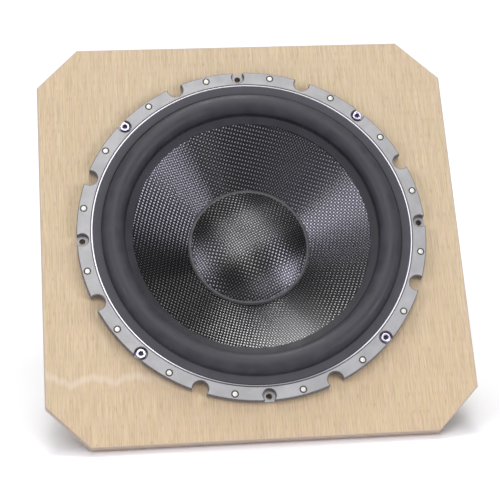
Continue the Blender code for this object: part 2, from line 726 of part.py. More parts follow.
def terminals():
    """Block on the top spoke, two blade tabs and a tinsel lead from each tab to the former."""
    spot = terminal_frame()
    block_middle = GAP + TERMINAL_BLOCK[2] / 2
    cage = bmesh.new()
    add_box(cage, spot @ Matrix.Translation((0, 0, block_middle)), TERMINAL_BLOCK)
    shape("terminal_block", cage, PHENOLIC)
    tab_height = GAP + TERMINAL_BLOCK[2] + GAP + TERMINAL_TAB[2] / 2
    for name, side in (("positive", 1), ("negative", -1)):
        x = side * TERMINAL_SPACING / 2
        cage = bmesh.new()
        add_box(cage, spot @ Matrix.Translation((x, TERMINAL_TAB_SHIFT, tab_height)), TERMINAL_TAB)
        shape(f"terminal_tab_{name}", cage, BRASS)
        tab_end = TERMINAL_TAB_SHIFT + TERMINAL_TAB[1] / 2
        start = spot @ Vector((x, tab_end + GAP, tab_height))
        tinsel_lead(f"tinsel_lead_{name}", start, side)


def tinsel_lead(name, start, side):
    """A slack braided lead from a tab, over the bowl's rim, to the side of the former."""
    along = terminal_frame().to_3x3() @ Vector((0, 1, 0))
    x = side * LEAD_NECK_SIDE
    y = math.sqrt(FORMER_RADIUS**2 - x**2) + LEAD_RADIUS + GAP
    end = Vector((x, y, LEAD_NECK_HEIGHT))
    before = start + along * LEAD_START_REACH
    after = end + Vector(LEAD_END_REACH)
    points = interpolate_bezier(start, before, after, end, LEAD_POINTS)
    curve = bpy.data.curves.new(name, "CURVE")
    curve.dimensions = "3D"
    curve.bevel_depth = LEAD_RADIUS
    curve.bevel_resolution = 2
    curve.use_fill_caps = True
    spline = curve.splines.new("POLY")
    spline.points.add(len(points) - 1)
    for point, place_on_route in zip(spline.points, points):
        point.co = (*place_on_route, 1)
    place(name, curve, TINSEL)


def settle_meshes():
    """Turns each part's modifiers into its mesh, and shades its round faces smooth."""
    bpy.context.view_layer.update()
    graph = bpy.context.evaluated_depsgraph_get()
    solids = [obj for obj in PARTS.objects if obj.type == "MESH"]
    meshes = {obj: bpy.data.meshes.new_from_object(obj.evaluated_get(graph)) for obj in solids}
    for obj, mesh in meshes.items():
        obj.modifiers.clear()
        obj.data = mesh
        mesh.shade_smooth()
        mesh.set_sharp_from_angle(angle=CREASE)
    for helper in CUTTERS.objects:
        helper.hide_render = True
        helper.display_type = "WIRE"


baffle_board()
gasket()
basket()
grille_magnets()
mounting_hardware()
surround()
spider()
cone()
dust_cap()
voice_coil()
motor()
motor_screws()
terminals()
settle_meshes()
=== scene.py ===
"""The looks of a twelve-inch subwoofer driver bolted to a square plywood baffle board.

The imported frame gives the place, the lean and the joint's axis. Every piece is laid out in metres as
its CAD solid is: +X right, +Y up the board and +Z out of the board's front face, whose centre is the
origin. BOARD leans those axes back. DRIVER also turns them a little, and its Z is the joint's axis.
"""
import json
import math

import bpy
import numpy as np
from mathutils import Matrix, Vector
from mathutils.geometry import interpolate_bezier, tessellate_polygon


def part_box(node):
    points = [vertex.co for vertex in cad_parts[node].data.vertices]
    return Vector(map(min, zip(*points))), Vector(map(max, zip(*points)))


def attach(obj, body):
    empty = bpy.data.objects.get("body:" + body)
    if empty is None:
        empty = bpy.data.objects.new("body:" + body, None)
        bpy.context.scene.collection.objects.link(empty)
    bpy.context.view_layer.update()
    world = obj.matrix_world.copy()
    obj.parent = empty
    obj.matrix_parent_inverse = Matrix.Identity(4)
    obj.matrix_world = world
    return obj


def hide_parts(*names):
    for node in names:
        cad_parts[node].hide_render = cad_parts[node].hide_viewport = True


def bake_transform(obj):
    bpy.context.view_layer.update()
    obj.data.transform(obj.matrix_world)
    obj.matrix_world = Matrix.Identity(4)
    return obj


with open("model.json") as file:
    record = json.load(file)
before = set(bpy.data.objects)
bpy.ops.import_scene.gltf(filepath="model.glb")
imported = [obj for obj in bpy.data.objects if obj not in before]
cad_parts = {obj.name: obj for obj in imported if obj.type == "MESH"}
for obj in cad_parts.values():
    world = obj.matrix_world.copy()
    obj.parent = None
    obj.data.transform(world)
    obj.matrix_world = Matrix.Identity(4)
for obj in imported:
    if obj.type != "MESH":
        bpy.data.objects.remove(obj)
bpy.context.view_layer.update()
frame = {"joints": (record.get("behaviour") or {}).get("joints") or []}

STILL = "frame"
MOVING = "cone_assembly"
GAP = 0.0003  # between neighbouring pieces, as in the CAD solids

# Fineness
SEGMENTS = 256  # round the flange, surround and cone
MIDDLE_SEGMENTS = 128  # round the motor, coil and spider
SMALL_SEGMENTS = 48  # round a fastener
TINY_SEGMENTS = 24  # round a rivet, a screw's thread and an eye
CORNER_STEPS = 4  # round one rounded corner
CORNER_SHARE = 0.48  # the most of a side that one rounded corner takes
STRAIGHT = math.radians(179)  # a corner this open isn't rounded
FINE_EDGE = 0.0002  # the rounding of small edges
SHARP_ANGLE = math.radians(30)  # edges that bend more than this stay sharp

# Baffle board
BOARD_THICKNESS = 0.012
BOARD_CHAMFER = 0.038
BOARD_EDGE = 0.0011
BOARD_CORNER = 0.0015
PLY_COUNT = 5
CUTOUT_RADIUS = 0.143
DRIVER_TWIST = math.radians(1.2)

# Basket flange, in front of the board
FLANGE_RADIUS = 0.158
FLANGE_FACE = 0.0092
FLANGE_EDGE = 0.0007
LIP_RADIUS = 0.1438
LIP_OUTER_RADIUS = 0.1450
LIP_GROOVE_RADIUS = 0.1453  # a thin groove parts the lip from the flange's face
LIP_CHAMFER = (0.0003, 0.0003)
LEDGE_INNER_RADIUS = 0.1362
LEDGE_HEIGHT = 0.0069
GASKET_OUTER_RADIUS = 0.1467
GASKET_THICKNESS = 0.0012
BOLT_CIRCLE_RADIUS = 0.1531
BOLT_COUNT = 8
BOLT_HOLE_RADIUS = 0.00275
COUNTERBORE_RADIUS = 0.0057
COUNTERBORE_FLOOR = 0.0038
COUNTERBORE_SLOT = 0.009
NOTCH_RADIUS = 0.0071
NOTCH_CENTRE = 0.155
RIM_CORNER = 0.0005
LAYER_OVERLAP = 0.0004  # how far shells of one casting run into each other
GRILLE_MAGNET_COUNT = 16
GRILLE_MAGNET_RADIUS = 0.0023
GRILLE_POCKET_RADIUS = 0.0028
GRILLE_MAGNET_DEPTH = 0.003

# Basket behind the board
BARREL_RADIUS = 0.1418
BARREL_WALL = 0.0035
BARREL_DEPTH = 0.014
SPOKE_COUNT = 6
SPOKE_WIDTH = 0.014
SPOKE_RAIL = 0.0032
SPOKE_RECESS = 0.003
SPOKE_EDGE = 0.0009
SPOKE_BACK = ((0.1415, -0.0200), (0.0920, -0.0790))  # its rear edge, as (radius, height)
SPOKE_INWARD = (-0.766, 0.643)  # square to its rear edge
SPIDER_SHELF = -0.0708
SPIDER_SHELF_RADIUS = 0.0775
SPIDER_RIM_RADIUS = 0.086
SPIDER_RIM_HEIGHT = 0.0033
BOWL_RADIUS = 0.0905
BOWL_FOOT_RADIUS = 0.080
BOWL_INNER_RADIUS = 0.0735
BOWL_BORE = 0.0445
BOWL_FLOOR = -0.0995
BOWL_VENT = (0.012, 0.026, 0.004)  # height, width and corner
BOWL_VENT_HEIGHT = -0.085
BOWL_VENT_REACH = 0.013  # how far its cutter stands out each way

# Cone assembly
CONE_SLOPE = 0.6885
CONE_THICKNESS = 0.00145
CONE_NECK_RADIUS = 0.0385
CONE_EDGE_RADIUS = 0.117
CONE_EDGE_SLOPE = 0.434
CAP_RIM_HEIGHT = -0.0347
WEAVE_RADIUS = 0.1080
CAP_RADIUS = 0.056
CAP_RISE = 0.015
CAP_THICKNESS = 0.001
CAP_STEPS = 40
CAP_LAND = 0.0025  # the flat rim round the dome
FORMER_RADIUS = 0.0381
FORMER_WALL = 0.0006
FORMER_TOP = -0.0445
FORMER_BOTTOM = -0.129
WINDING_RADIUS = 0.0402
WINDING_LENGTH = 0.032
WIRE = 0.0005

# Weave. Its grid is turned by TOW_ANGLE, and tows run along both of its axes
TOW_ANGLE = math.radians(26)
CONE_TOW = 0.00241  # from one tow to the next
CAP_TOW = 0.00226
# Painted shade: the crowns also set the tows' colour, so the family with the lower crown is painted
# darker all over.
CONE_CROWNS = (1.0, 0.7)  # how high the tows stand that run along the grid's second and first axis
CAP_CROWNS = (0.78, 1.0)
TOW_SAMPLES = 4  # mesh steps across a tow
TOW_ROUNDNESS = 1.5  # powers of a tow's crown across it and along it
TOW_FLATNESS = 0.3
TOW_START = 0.5  # sets the grid's points, in steps, clear of its own axes
TOW_RELIEF = 0.0001
TOW_SINK = 0.0006  # how far the cloth's edges dip into the body below
KINK_SOFTNESS = math.radians(9)  # how far the cloth's bend spreads beside a straight tow
WEAVE_BACKING = 0.0002  # how far the solid body stands below the cloth
WEAVE_SPREAD = 1.35  # the grid's reach over the weave's radius, because the cloth shears

# Surround and spider
LIP_THICKNESS = 0.0012
ROLL_INNER_RADIUS = 0.1155
ROLL_OUTER_RADIUS = 0.1351
ROLL_THICKNESS = 0.0013
ROLL_STEPS = 28
SURROUND_TOP = 0.009
SURROUND_THICKNESS = 0.0018
CREASE_DEPTH = 0.0008
CREASE_WIDTH = 0.0010
SPIDER_INNER_RADIUS = 0.0385
SPIDER_OUTER_RADIUS = 0.0855
SPIDER_THICKNESS = 0.0009
SPIDER_WAVES = 6
SPIDER_WAVE_HEIGHT = 0.0019
SPIDER_WAVE_RADII = (0.0425, 0.0765)
SPIDER_WAVE_STEPS = 12
SPIDER_FADE = 8  # the waves grow to full height over one part in this many

# Motor
MOTOR_RADIUS = 0.070
MOTOR_DEPTH = 0.178
PLATE_EDGE = 0.0012
TOP_PLATE_FACE = -0.105
TOP_PLATE_THICKNESS = 0.012
TOP_PLATE_BORE = 0.0412
MAGNET_RADIUS = 0.073
MAGNET_BORE = 0.047
MAGNET_THICKNESS = 0.0242
MAGNET_EDGE = 0.0022
BACK_PLATE_FACE = -0.166
POLE_RADIUS = 0.0356
POLE_TOP = -0.103
VENT_RADIUS = 0.016
VENT_RECESS_RADIUS = 0.019
VENT_RECESS_DEPTH = 0.0035
SCREEN_THICKNESS = 0.001
SCREEN_HOLE_RADIUS = 0.0036
SCREEN_HOLE_CIRCLE = 0.011
SLEEVE_WALL = 0.0009
SLEEVE_BOTTOM = -0.150
MOTOR_SCREW_COUNT = 6
MOTOR_SCREW_CIRCLE = 0.058

# Socket-head screws, M5
SCREW_HEAD_RADIUS = 0.00425
SCREW_HEAD_HEIGHT = 0.005
SCREW_SHANK_RADIUS = 0.00245
SCREW_SOCKET_WIDTH = 0.004
SCREW_SOCKET_DEPTH = 0.0026
SCREW_PITCH = 0.0008
SCREW_THREAD_DEPTH = 0.0003
SCREW_TURN_STEPS = 6  # rings of points in one turn of the thread
SCREW_TIP = 0.75  # the shank's end, as a share of its radius, reached over one pitch
MOUNTING_SCREW_LENGTH = 0.020
MOTOR_SCREW_LENGTH = 0.015
TEE_NUT_BARREL_RADIUS = 0.00325
TEE_NUT_BARREL_TOP = -0.0045
TEE_NUT_PLATE_RADIUS = 0.0085
TEE_NUT_PLATE_THICKNESS = 0.0012
TEE_NUT_SLOT = (0.0020, 0.0024, 0.0004)
TEE_NUT_SLOT_CIRCLE = 0.0056

# Terminal block on the top spoke
TERMINAL_BLOCK = (0.036, 0.022, 0.005)  # width, length and height
TERMINAL_BLOCK_CORNER = 0.0025
TERMINAL_TAB = (0.0063, 0.030, 0.0008)
TERMINAL_TAB_CORNER = 0.0014
TERMINAL_TAB_SHIFT = -0.0025
TERMINAL_SPACING = 0.022
TERMINAL_EYE_RADIUS = 0.0009
TERMINAL_EYE_INSET = 0.004
RIVET_DOME = ((0, 0.0009), (0.0013, 0.0007), (0.0018, 0), (0, 0))
RIVET_PLACES = (-0.004, 0.006)
LEAD_RADIUS = 0.0011
LEAD_STRAND_RADIUS = 0.00052
LEAD_POINTS = 60
LEAD_TWIST = 0.009
LEAD_STRANDS = 3
LEAD_FIXED_ENDS = (0.05, 0.95)  # outside these shares of its length, a point's worked-out share is that of its holder; the shares are not used
LEAD_NECK_HEIGHT = -0.057
LEAD_NECK_SIDE = 0.009
LEAD_NECK_CLEARANCE = 0.0014
LEAD_START_REACH = 0.016  # how far each end runs on before the lead bends
LEAD_END_REACH = (0, 0.032, 0.012)

# Camera, in board sides from the middle of the board's front face
CAMERA_PLACE = (-0.379, -1.233, 3.272)
CAMERA_AIM = (-0.0082, -0.0412, 0.0)
CAMERA_ROLL = math.radians(-0.456)
CAMERA_LENS = 106.2

# Stage and light. A lamp has a name, the direction it shines from, its strength and its colour
FLOOR_COLOUR = (0.93, 0.93, 0.93)
FLOOR_GLOW = 0.06  # a lit sweep under the object, which keeps its shadows pale
FLOOR_SIDE = 120.0
ROOM_STRENGTH = 0.2
LAMP_WIDTH = 0.4  # each lamp's angle, seen from the part: that of a window
WHITE = (1.0, 1.0, 1.0)
SKY = (0.86, 0.83, 1.0)
LAMPS = (
    ("back_top", (-0.03, 0.38, 0.93), 1.34, WHITE),
    ("overhead", (0.08, -0.15, 0.99), 0.55, WHITE),
    ("front_top", (-0.10, -0.63, 0.77), 0.82, WHITE),
    ("left_window", (-0.81, -0.43, 0.40), 1.00, SKY),
    ("right_window", (0.72, -0.66, 0.22), 1.22, SKY),
)


def board_axes():
    """The matrix that leans the board's axes back, from the joint's axis and the board's box."""
    front = Vector(frame["joints"][0]["axis"]).normalized()
    right = Vector((1, 0, 0))
    axes = Matrix((right, front.cross(right), front)).transposed().to_4x4()
    low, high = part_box("baffle_board")
    return Matrix.Translation((low + high) / 2 + front * BOARD_THICKNESS / 2) @ axes


BOARD = board_axes()
BOARD_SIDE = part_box("baffle_board")[1].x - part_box("baffle_board")[0].x
DRIVER = BOARD @ Matrix.Rotation(DRIVER_TWIST, 4, "Z")


# ---- Outlines and mesh building ----


def arc(centre, radius, start, end, steps):
    """Points along an arc, with both of its ends."""
    angles = [start + (end - start) * step / steps for step in range(steps + 1)]
    return [(centre[0] + radius * math.cos(a), centre[1] + radius * math.sin(a)) for a in angles]


def circle(radius, centre=(0, 0), steps=SMALL_SEGMENTS):
    """A closed loop of points round a centre."""
    return arc(centre, radius, 0, math.tau, steps)[:-1]


def rounded(points, radius, closed=True):
    """A polygon with rounded corners. A point's third number, if it has one, is its own radius."""
    result = []
    count = len(points)
    for number, point in enumerate(points):
        reach = point[2] if len(point) > 2 else radius
        here = Vector(point[:2])
        back = Vector(points[number - 1][:2]) - here
        ahead = Vector(points[(number + 1) % count][:2]) - here
        is_end = not closed and number in (0, count - 1)
        if is_end or reach == 0 or back.length * ahead.length == 0:
            result.append(tuple(here))
            continue
        corner = back.angle(ahead)
        if corner > STRAIGHT:
            result.append(tuple(here))
            continue
        cut = min(reach / math.tan(corner / 2), CORNER_SHARE * min(back.length, ahead.length))
        start = here + back.normalized() * cut
        end = here + ahead.normalized() * cut
        middle = (back.normalized() + ahead.normalized()).normalized()
        centre = here + middle * cut / math.cos(corner / 2)
        turn = math.pi - corner
        for step in range(CORNER_STEPS + 1):
            share = step / CORNER_STEPS
            first = math.sin((1 - share) * turn) / math.sin(turn)
            second = math.sin(share * turn) / math.sin(turn)
            result.append(tuple(centre + (start - centre) * first + (end - centre) * second))
    return result


def rectangle(width, length, radius):
    """A rectangle round the origin with rounded corners."""
    x, y = width / 2, length / 2
    return rounded([(-x, -y), (x, -y), (x, y), (-x, y)], radius)


def even_angles(count, start=0.0):
    """Angles spaced evenly round the axis. The first is this share of a step past +X."""
    return [math.tau * (i + start) / count for i in range(count)]


def turned_points(points, angle):
    """Plan points turned about the axis. A third number is carried along."""
    cosine, sine = math.cos(angle), math.sin(angle)
    return [(x * cosine - y * sine, x * sine + y * cosine, *rest) for x, y, *rest in points]


def ring_of_circles(radius, angles, ring_radius, steps=32):
    """A circle at each of these angles round the axis."""
    return [circle(radius, turned_points([(ring_radius, 0)], angle)[0], steps) for angle in angles]


def inset(loop, distance):
    """A loop moved to its left by this distance, with mitred corners."""
    result = []
    for number, point in enumerate(loop):
        here = Vector(point)
        back = (here - Vector(loop[number - 1])).normalized()
        ahead = (Vector(loop[(number + 1) % len(loop)]) - here).normalized()
        left = Vector((-back.y - ahead.y, back.x + ahead.x))
        result.append(tuple(here + left * (2 * distance / left.length_squared)))
    return result


def signed_area(loop):
    """Twice a loop's area, positive where it runs anticlockwise."""
    return sum(a[0] * b[1] - b[0] * a[1] for a, b in zip(loop, loop[1:] + loop[:1]))


class Cage:
    """The points and faces of one piece while it is built."""

    def __init__(self):
        self.points = []
        self.faces = []
        self.finishes = []  # which of the piece's materials each face has
        self.flats = []  # whether a face's edges stay sharp

    def add(self, points, faces, matrix=Matrix(), finish=0, flat=False):
        """Adds faces whose corners count from the first of these points."""
        first = len(self.points)
        self.points += [matrix @ Vector(point) for point in points]
        self.faces += [[first + corner for corner in face] for face in faces]
        self.finishes += [finish] * len(faces)
        self.flats += [flat] * len(faces)


def add_turned(cage, outline, segments=SEGMENTS, matrix=Matrix(), finish=0, closed=True):
    """A solid of revolution about Z. Its (radius, height) points run down its outer side."""
    points, rings = [], []
    for radius, height in outline:
        if radius < 1e-7:
            rings.append([len(points)] * segments)
            points.append((0, 0, height))
            continue
        rings.append(list(range(len(points), len(points) + segments)))
        points += [(x, y, height) for x, y in circle(radius, steps=segments)]
    pairs = list(zip(rings, rings[1:] + rings[:1]))
    faces = []
    for upper, lower in pairs if closed else pairs[:-1]:
        for side in range(segments):
            after = (side + 1) % segments
            corners = [upper[side], lower[side], lower[after], upper[after]]
            faces.append(list(dict.fromkeys(corners)))
    cage.add(points, faces, matrix, finish)


def strip_faces(rings, sides):
    """The quads between rings of points that lie one after another."""
    faces = []
    for first in range(0, (rings - 1) * sides, sides):
        for side in range(sides):
            low, after = first + side, first + (side + 1) % sides
            faces.append([low, after, after + sides, low + sides])
    return faces


def add_bar(cage, points, sides, matrix=Matrix(), turned_over=False):
    """A solid bar from rings of points. It is turned over where its rings run the other way."""
    faces = strip_faces(len(points) // sides, sides)
    faces += [list(range(sides))[::-1], list(range(len(points) - sides, len(points)))]
    cage.add(points, [face[::-1] for face in faces] if turned_over else faces, matrix)


def plate_levels(top, bottom, top_edge, bottom_edge):
    """The (inset, height) steps up a plate's wall, round its lower and upper edges."""
    turns = [math.pi / 2 * step / CORNER_STEPS for step in range(CORNER_STEPS + 1)]
    lower, upper = [(0, bottom)], [(0, top)]
    if bottom_edge:
        lower = [
            (bottom_edge * (1 - math.sin(a)), bottom + bottom_edge * (1 - math.cos(a))) for a in turns
        ]
    if top_edge:
        upper = [(top_edge * (1 - math.cos(a)), top - top_edge * (1 - math.sin(a))) for a in turns]
    return lower + upper


def add_plate(cage, loops, top, bottom, edges, matrix=Matrix(), finish=0, wall=None):
    """A flat plate. The first loop is its outline and the rest are holes. edges are the radii of its
    top and bottom edges, or one for both. Its walls may have a finish of their own."""
    wall = finish if wall is None else wall
    top_edge, bottom_edge = edges if isinstance(edges, tuple) else (edges, edges)
    turned_right = []
    for number, loop in enumerate(loops):
        is_outline = number == 0
        turned_right.append(loop if (signed_area(loop) > 0) == is_outline else loop[::-1])
    levels = plate_levels(top, bottom, top_edge, bottom_edge)
    for loop in turned_right:
        points = [(*point, height) for side, height in levels for point in inset(loop, side)]
        cage.add(points, strip_faces(len(levels), len(loop)), matrix, wall)
    for (side, height), upward in ((levels[0], False), (levels[-1], True)):
        shrunk = [[Vector((*point, height)) for point in inset(loop, side)] for loop in turned_right]
        points = [point for loop in shrunk for point in loop]
        faces = []
        for a, b, c in tessellate_polygon(shrunk):
            normal = (points[b] - points[a]).cross(points[c] - points[a])
            faces.append([a, b, c] if (normal.z > 0) == upward else [c, b, a])
        cage.add(points, faces, matrix, finish, flat=True)


def add_tube(cage, path, radius, segments=10):
    """A round tube along a path of points, with closed ends."""
    path = [Vector(point) for point in path]
    side = (path[1] - path[0]).orthogonal().normalized()
    points = []
    for number, centre in enumerate(path):
        along = path[min(number + 1, len(path) - 1)] - path[max(number - 1, 0)]
        along.normalize()
        side = (side - along * side.dot(along)).normalized()
        other = along.cross(side)
        for x, y in circle(radius, steps=segments):
            points.append(centre + side * x + other * y)
    add_bar(cage, points, segments)


def around(angle, radius=0.0, height=0.0):
    """A matrix that turns a shape about Z and sets it at this radius and height."""
    return Matrix.Rotation(angle, 4, "Z") @ Matrix.Translation((radius, 0, height))


def mesh_of(name, cage, finishes, home):
    """A smooth mesh in the row's frame, with its creases sharp. Its points keep their places in the
    part's own axes as an attribute, which the materials read."""
    mesh = bpy.data.meshes.new(name)
    mesh.from_pydata(cage.points, [], cage.faces)
    own_place = mesh.attributes.new("own_place", "FLOAT_VECTOR", "POINT")
    own_place.data.foreach_set("vector", np.array(cage.points, np.float32).ravel())
    mesh.transform(home)
    for finish in finishes:
        mesh.materials.append(finish)
    mesh.polygons.foreach_set("material_index", cage.finishes)
    mesh.shade_smooth()
    mesh.set_sharp_from_angle(angle=SHARP_ANGLE)
    sharp = mesh.attributes["sharp_edge"] if "sharp_edge" in mesh.attributes else None
    sharp = sharp or mesh.attributes.new("sharp_edge", "BOOLEAN", "EDGE")
    for face, flat in zip(mesh.polygons, cage.flats):
        if flat:
            for loop in face.loop_indices:
                sharp.data[mesh.loops[loop].edge_index].value = True
    return mesh


def added(name, data):
    """A new object in the scene for this mesh, lamp or camera."""
    obj = bpy.data.objects.new(name, data)
    bpy.context.scene.collection.objects.link(obj)
    return obj


def place(name, mesh, replaced):
    """An object for this mesh that stands for these CAD nodes."""
    obj = added(name, mesh)
    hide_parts(*replaced)
    return obj


def piece(name, cage, finishes, replaced, body=STILL, home=DRIVER):
    """A finished rigid piece that rides on one body."""
    obj = place(name, mesh_of(name, cage, finishes, home), replaced)
    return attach(obj, body)


def flexing_piece(name, cage, finishes, replaced, share_at):
    """A soft piece between basket and cone, fixed in the frame. share_at gives how much each point would
    move with the cone; the shares are worked out but not used.
    """
    shares = np.array([share_at(point) for point in cage.points], np.float32)
    obj = place(name, mesh_of(name, cage, finishes, DRIVER), replaced)
    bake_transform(obj)
    return obj


def ring(name, outline, edge, finish, slot, node, body=STILL, segments=MIDDLE_SEGMENTS):
    """A turned piece with rounded edges."""
    cage = Cage()
    add_turned(cage, rounded(outline, edge), segments)
    piece(name, cage, (finish,), [node], body)


def box_section(inner, outer, top, bottom):
    """The four corners of a plain ring's section."""
    return [(inner, top), (outer, top), (outer, bottom), (inner, bottom)]


def smooth_share(value, still, moving):
    """0 at still, 1 at moving and a smooth step between them."""
    share = min(max((value - still) / (moving - still), 0), 1)
    return share * share * (3 - 2 * share)


def radial_share(still, moving):
    """How much a point moves, from none at one radius to all at another."""
    return lambda point: smooth_share(math.hypot(point.x, point.y), still, moving)


# ---- Materials ----


class Finish:
    """One material's nodes. Noise sizes are metres in the piece's own axes."""

    def __init__(self, name, colour, roughness, metallic=0.0, **sockets):
        self.material = bpy.data.materials.new(name)
        self.material.use_nodes = True
        self.nodes = self.material.node_tree.nodes
        self.links = self.material.node_tree.links
        self.shader = self.nodes["Principled BSDF"].inputs
        self.fill(self.shader["Metallic"], metallic)
        self.colour(colour)
        self.roughness(roughness)
        for socket, value in sockets.items():
            self.fill(self.shader[socket.replace("_", " ")], value)
        self.coordinates = self.mark("own_place")

    def fill(self, socket, value):
        """Fills a socket from a number, from three numbers or from another socket."""
        if isinstance(value, tuple):
            socket.default_value = (*value, 1)[: len(socket.default_value)]
        elif isinstance(value, (int, float)):
            socket.default_value = value
        else:
            self.links.new(value, socket)

    def node(self, kind, inputs, output, **settings):
        """One output of a new node, with these inputs filled, by name or by number."""
        node = self.nodes.new("ShaderNode" + kind)
        for name, value in settings.items():
            setattr(node, name, value)
        for key, value in inputs.items():
            self.fill(node.inputs[key], value)
        return node.outputs[output]

    def mark(self, name, output="Vector"):
        """One of the mesh's attributes."""
        return self.node("Attribute", {}, output, attribute_name=name)

    def along(self, axis):
        """How far along one of the part's own axes a point lies."""
        return self.node("SeparateXYZ", {"Vector": self.coordinates}, axis)

    def stretched(self, size):
        """The part's own coordinates, scaled so that one unit is this many metres along each axis."""
        scale = tuple(1 / length for length in size)
        return self.node("Mapping", {"Scale": scale, "Vector": self.coordinates}, "Vector")

    def noise(self, size, detail=2.0):
        """Noise whose features have this size, as one length or three."""
        size = (size, size, size) if isinstance(size, float) else size
        inputs = {"Scale": 1, "Detail": detail, "Vector": self.stretched(size)}
        return self.node("TexNoise", inputs, "Fac")

    def span(self, value, low, high, to_low=0.0, to_high=1.0):
        """A value moved from one range to another and kept inside it."""
        ends = {"From Min": low, "From Max": high, "To Min": to_low, "To Max": to_high}
        return self.node("MapRange", {"Value": value, **ends}, "Result")

    def maths(self, operation, first, second=0):
        """One sum of two values, each a socket or a number."""
        return self.node("Math", {0: first, 1: second}, "Value", operation=operation)

    def mixed(self, share, first, second):
        """Two colours, each a socket or three numbers, mixed by a share."""
        return self.node("Mix", {0: share, 6: first, 7: second}, 2, data_type="RGBA")

    def colour(self, value):
        """Sets the base colour."""
        self.fill(self.shader["Base Color"], value)

    def roughness(self, value):
        """Sets the roughness."""
        self.fill(self.shader["Roughness"], value)

    def relief(self, height, distance):
        """Bump of this depth in metres from a height between 0 and 1."""
        normal = self.node("Bump", {"Strength": 1, "Distance": distance, "Height": height}, "Normal")
        self.fill(self.shader["Normal"], normal)


def plywood_face():
    """Pale rotary-cut veneer: fine streaks up the board, faint pink and yellow patches, and one soft
    pale mark that wanders in from the left low down."""
    wood = Finish("plywood_face", (0.66, 0.49, 0.31), 0.55)
    grain = wood.noise((0.0008, 0.028, 0.0008), 2.0)
    streaks = wood.noise((0.0035, 0.16, 0.0035), 2.0)
    patches = wood.noise((0.006, 0.02, 0.006), 1.0)
    slope = wood.noise((0.35, 0.35, 0.35), 0.0)
    pores = wood.noise((0.0007, 0.008, 0.0007), 0.0)
    tone = wood.mixed(wood.span(streaks, 0.35, 0.65), (0.56, 0.445, 0.275), (0.62, 0.515, 0.335))
    for value, reach, colour in (
        (slope, (0.35, 0.65, 0, 0.5), (0.63, 0.46, 0.27)),
        (patches, (0.3, 0.5, 0.4, 0), (0.64, 0.47, 0.36)),
        (patches, (0.55, 0.75, 0, 0.45), (0.60, 0.51, 0.27)),
        (grain, (0.42, 0.66, 0, 0.95), (0.49, 0.375, 0.235)),
        (pores, (0.62, 0.8, 0, 0.55), (0.38, 0.27, 0.16)),
    ):
        tone = wood.mixed(wood.span(value, *reach), tone, colour)
    wander = wood.span(wood.noise((0.035, 10, 10), 4.0), 0.3, 0.7, 0.122, 0.138)
    off_line = wood.maths("ABSOLUTE", wood.maths("ADD", wood.along("Y"), wander))
    mark = wood.span(off_line, 0.001, 0.005, 0.45, 0)
    mark = wood.maths("MULTIPLY", mark, wood.span(wood.along("X"), -0.11, -0.07, 1, 0))
    wood.colour(wood.mixed(mark, tone, (0.70, 0.60, 0.47)))
    wood.roughness(wood.span(grain, 0.3, 0.7, 0.5, 0.68))
    wood.relief(grain, 0.00005)
    return wood.material


def plywood_edge():
    """The board's sawn edge, with its plies in turn pale along the grain and dark across it."""
    wood = Finish("plywood_edge", (0.55, 0.44, 0.34), 0.75)
    depth = wood.maths("MULTIPLY", wood.along("Z"), PLY_COUNT * math.pi / BOARD_THICKNESS)
    ply = wood.maths("SINE", depth)
    fibres = wood.noise((0.0012, 0.0012, 0.0004), 4.0)
    tone = wood.mixed(wood.span(ply, -0.25, 0.25), (0.48, 0.39, 0.30), (0.66, 0.54, 0.43))
    wood.colour(wood.mixed(wood.span(fibres, 0.35, 0.7, 0, 0.5), tone, (0.40, 0.31, 0.23)))
    wood.relief(fibres, 0.0003)
    return wood.material


def satin_aluminium():
    """Bead-blasted casting with a fine grain and slight differences of tone."""
    metal = Finish("satin_aluminium", (0.38, 0.38, 0.38), 0.5, 0.6)
    clouds = metal.noise(0.02)
    grain = metal.noise(0.00045)
    metal.colour(metal.mixed(metal.span(clouds, 0.35, 0.65), (0.35, 0.35, 0.35), (0.42, 0.42, 0.42)))
    metal.roughness(metal.span(grain, 0.3, 0.7, 0.46, 0.6))
    metal.relief(grain, 0.00004)
    return metal.material


def machined_aluminium_painted_shade():
    """The turned inner lip: bright at its sides, with painted shade towards its top and its foot, which
    stands in for how the turned metal reflects the lamps.
    """
    metal = Finish("machined_aluminium_painted_shade", (0.9, 0.9, 0.92), 0.4, 0.4)
    # Painted shade: the colour darkens towards the lip's foot and its top, so only its sides stay
    # bright.
    foot = metal.span(metal.along("Y"), -0.14, -0.11, 1, 0)
    top = metal.span(metal.along("Y"), 0.11, 0.14, 0, 0.7)
    tone = metal.mixed(top, (0.92, 0.92, 0.95), (0.5, 0.5, 0.5))
    metal.colour(metal.mixed(foot, tone, (0.3, 0.3, 0.31)))
    metal.roughness(metal.span(metal.noise(0.004), 0.3, 0.7, 0.36, 0.44))
    return metal.material


def plated(name, colour, roughness, size=0.004):
    """Bright plating with faint wear in its gloss."""
    metal = Finish(name, colour, roughness, 1.0)
    wear = metal.noise(size, 4.0)
    metal.roughness(metal.span(wear, 0.35, 0.7, roughness, roughness + 0.12))
    darker = tuple(0.8 * c for c in colour)
    metal.colour(metal.mixed(metal.span(wear, 0.4, 0.75, 0, 0.3), colour, darker))
    return metal.material


def rubber(name, colour, roughness, grain_size, grain_depth):
    """Moulded rubber with a matte bloom and a fine grain."""
    skin = Finish(name, colour, roughness, Specular_IOR_Level=0.4)
    bloom = skin.noise(0.012, 4.0)
    grain = skin.noise(grain_size)
    lighter = tuple(1.3 * c for c in colour)
    skin.colour(skin.mixed(skin.span(bloom, 0.4, 0.7), colour, lighter))
    skin.roughness(skin.span(bloom, 0.35, 0.7, roughness - 0.05, roughness + 0.12))
    skin.relief(grain, grain_depth)
    return skin.material


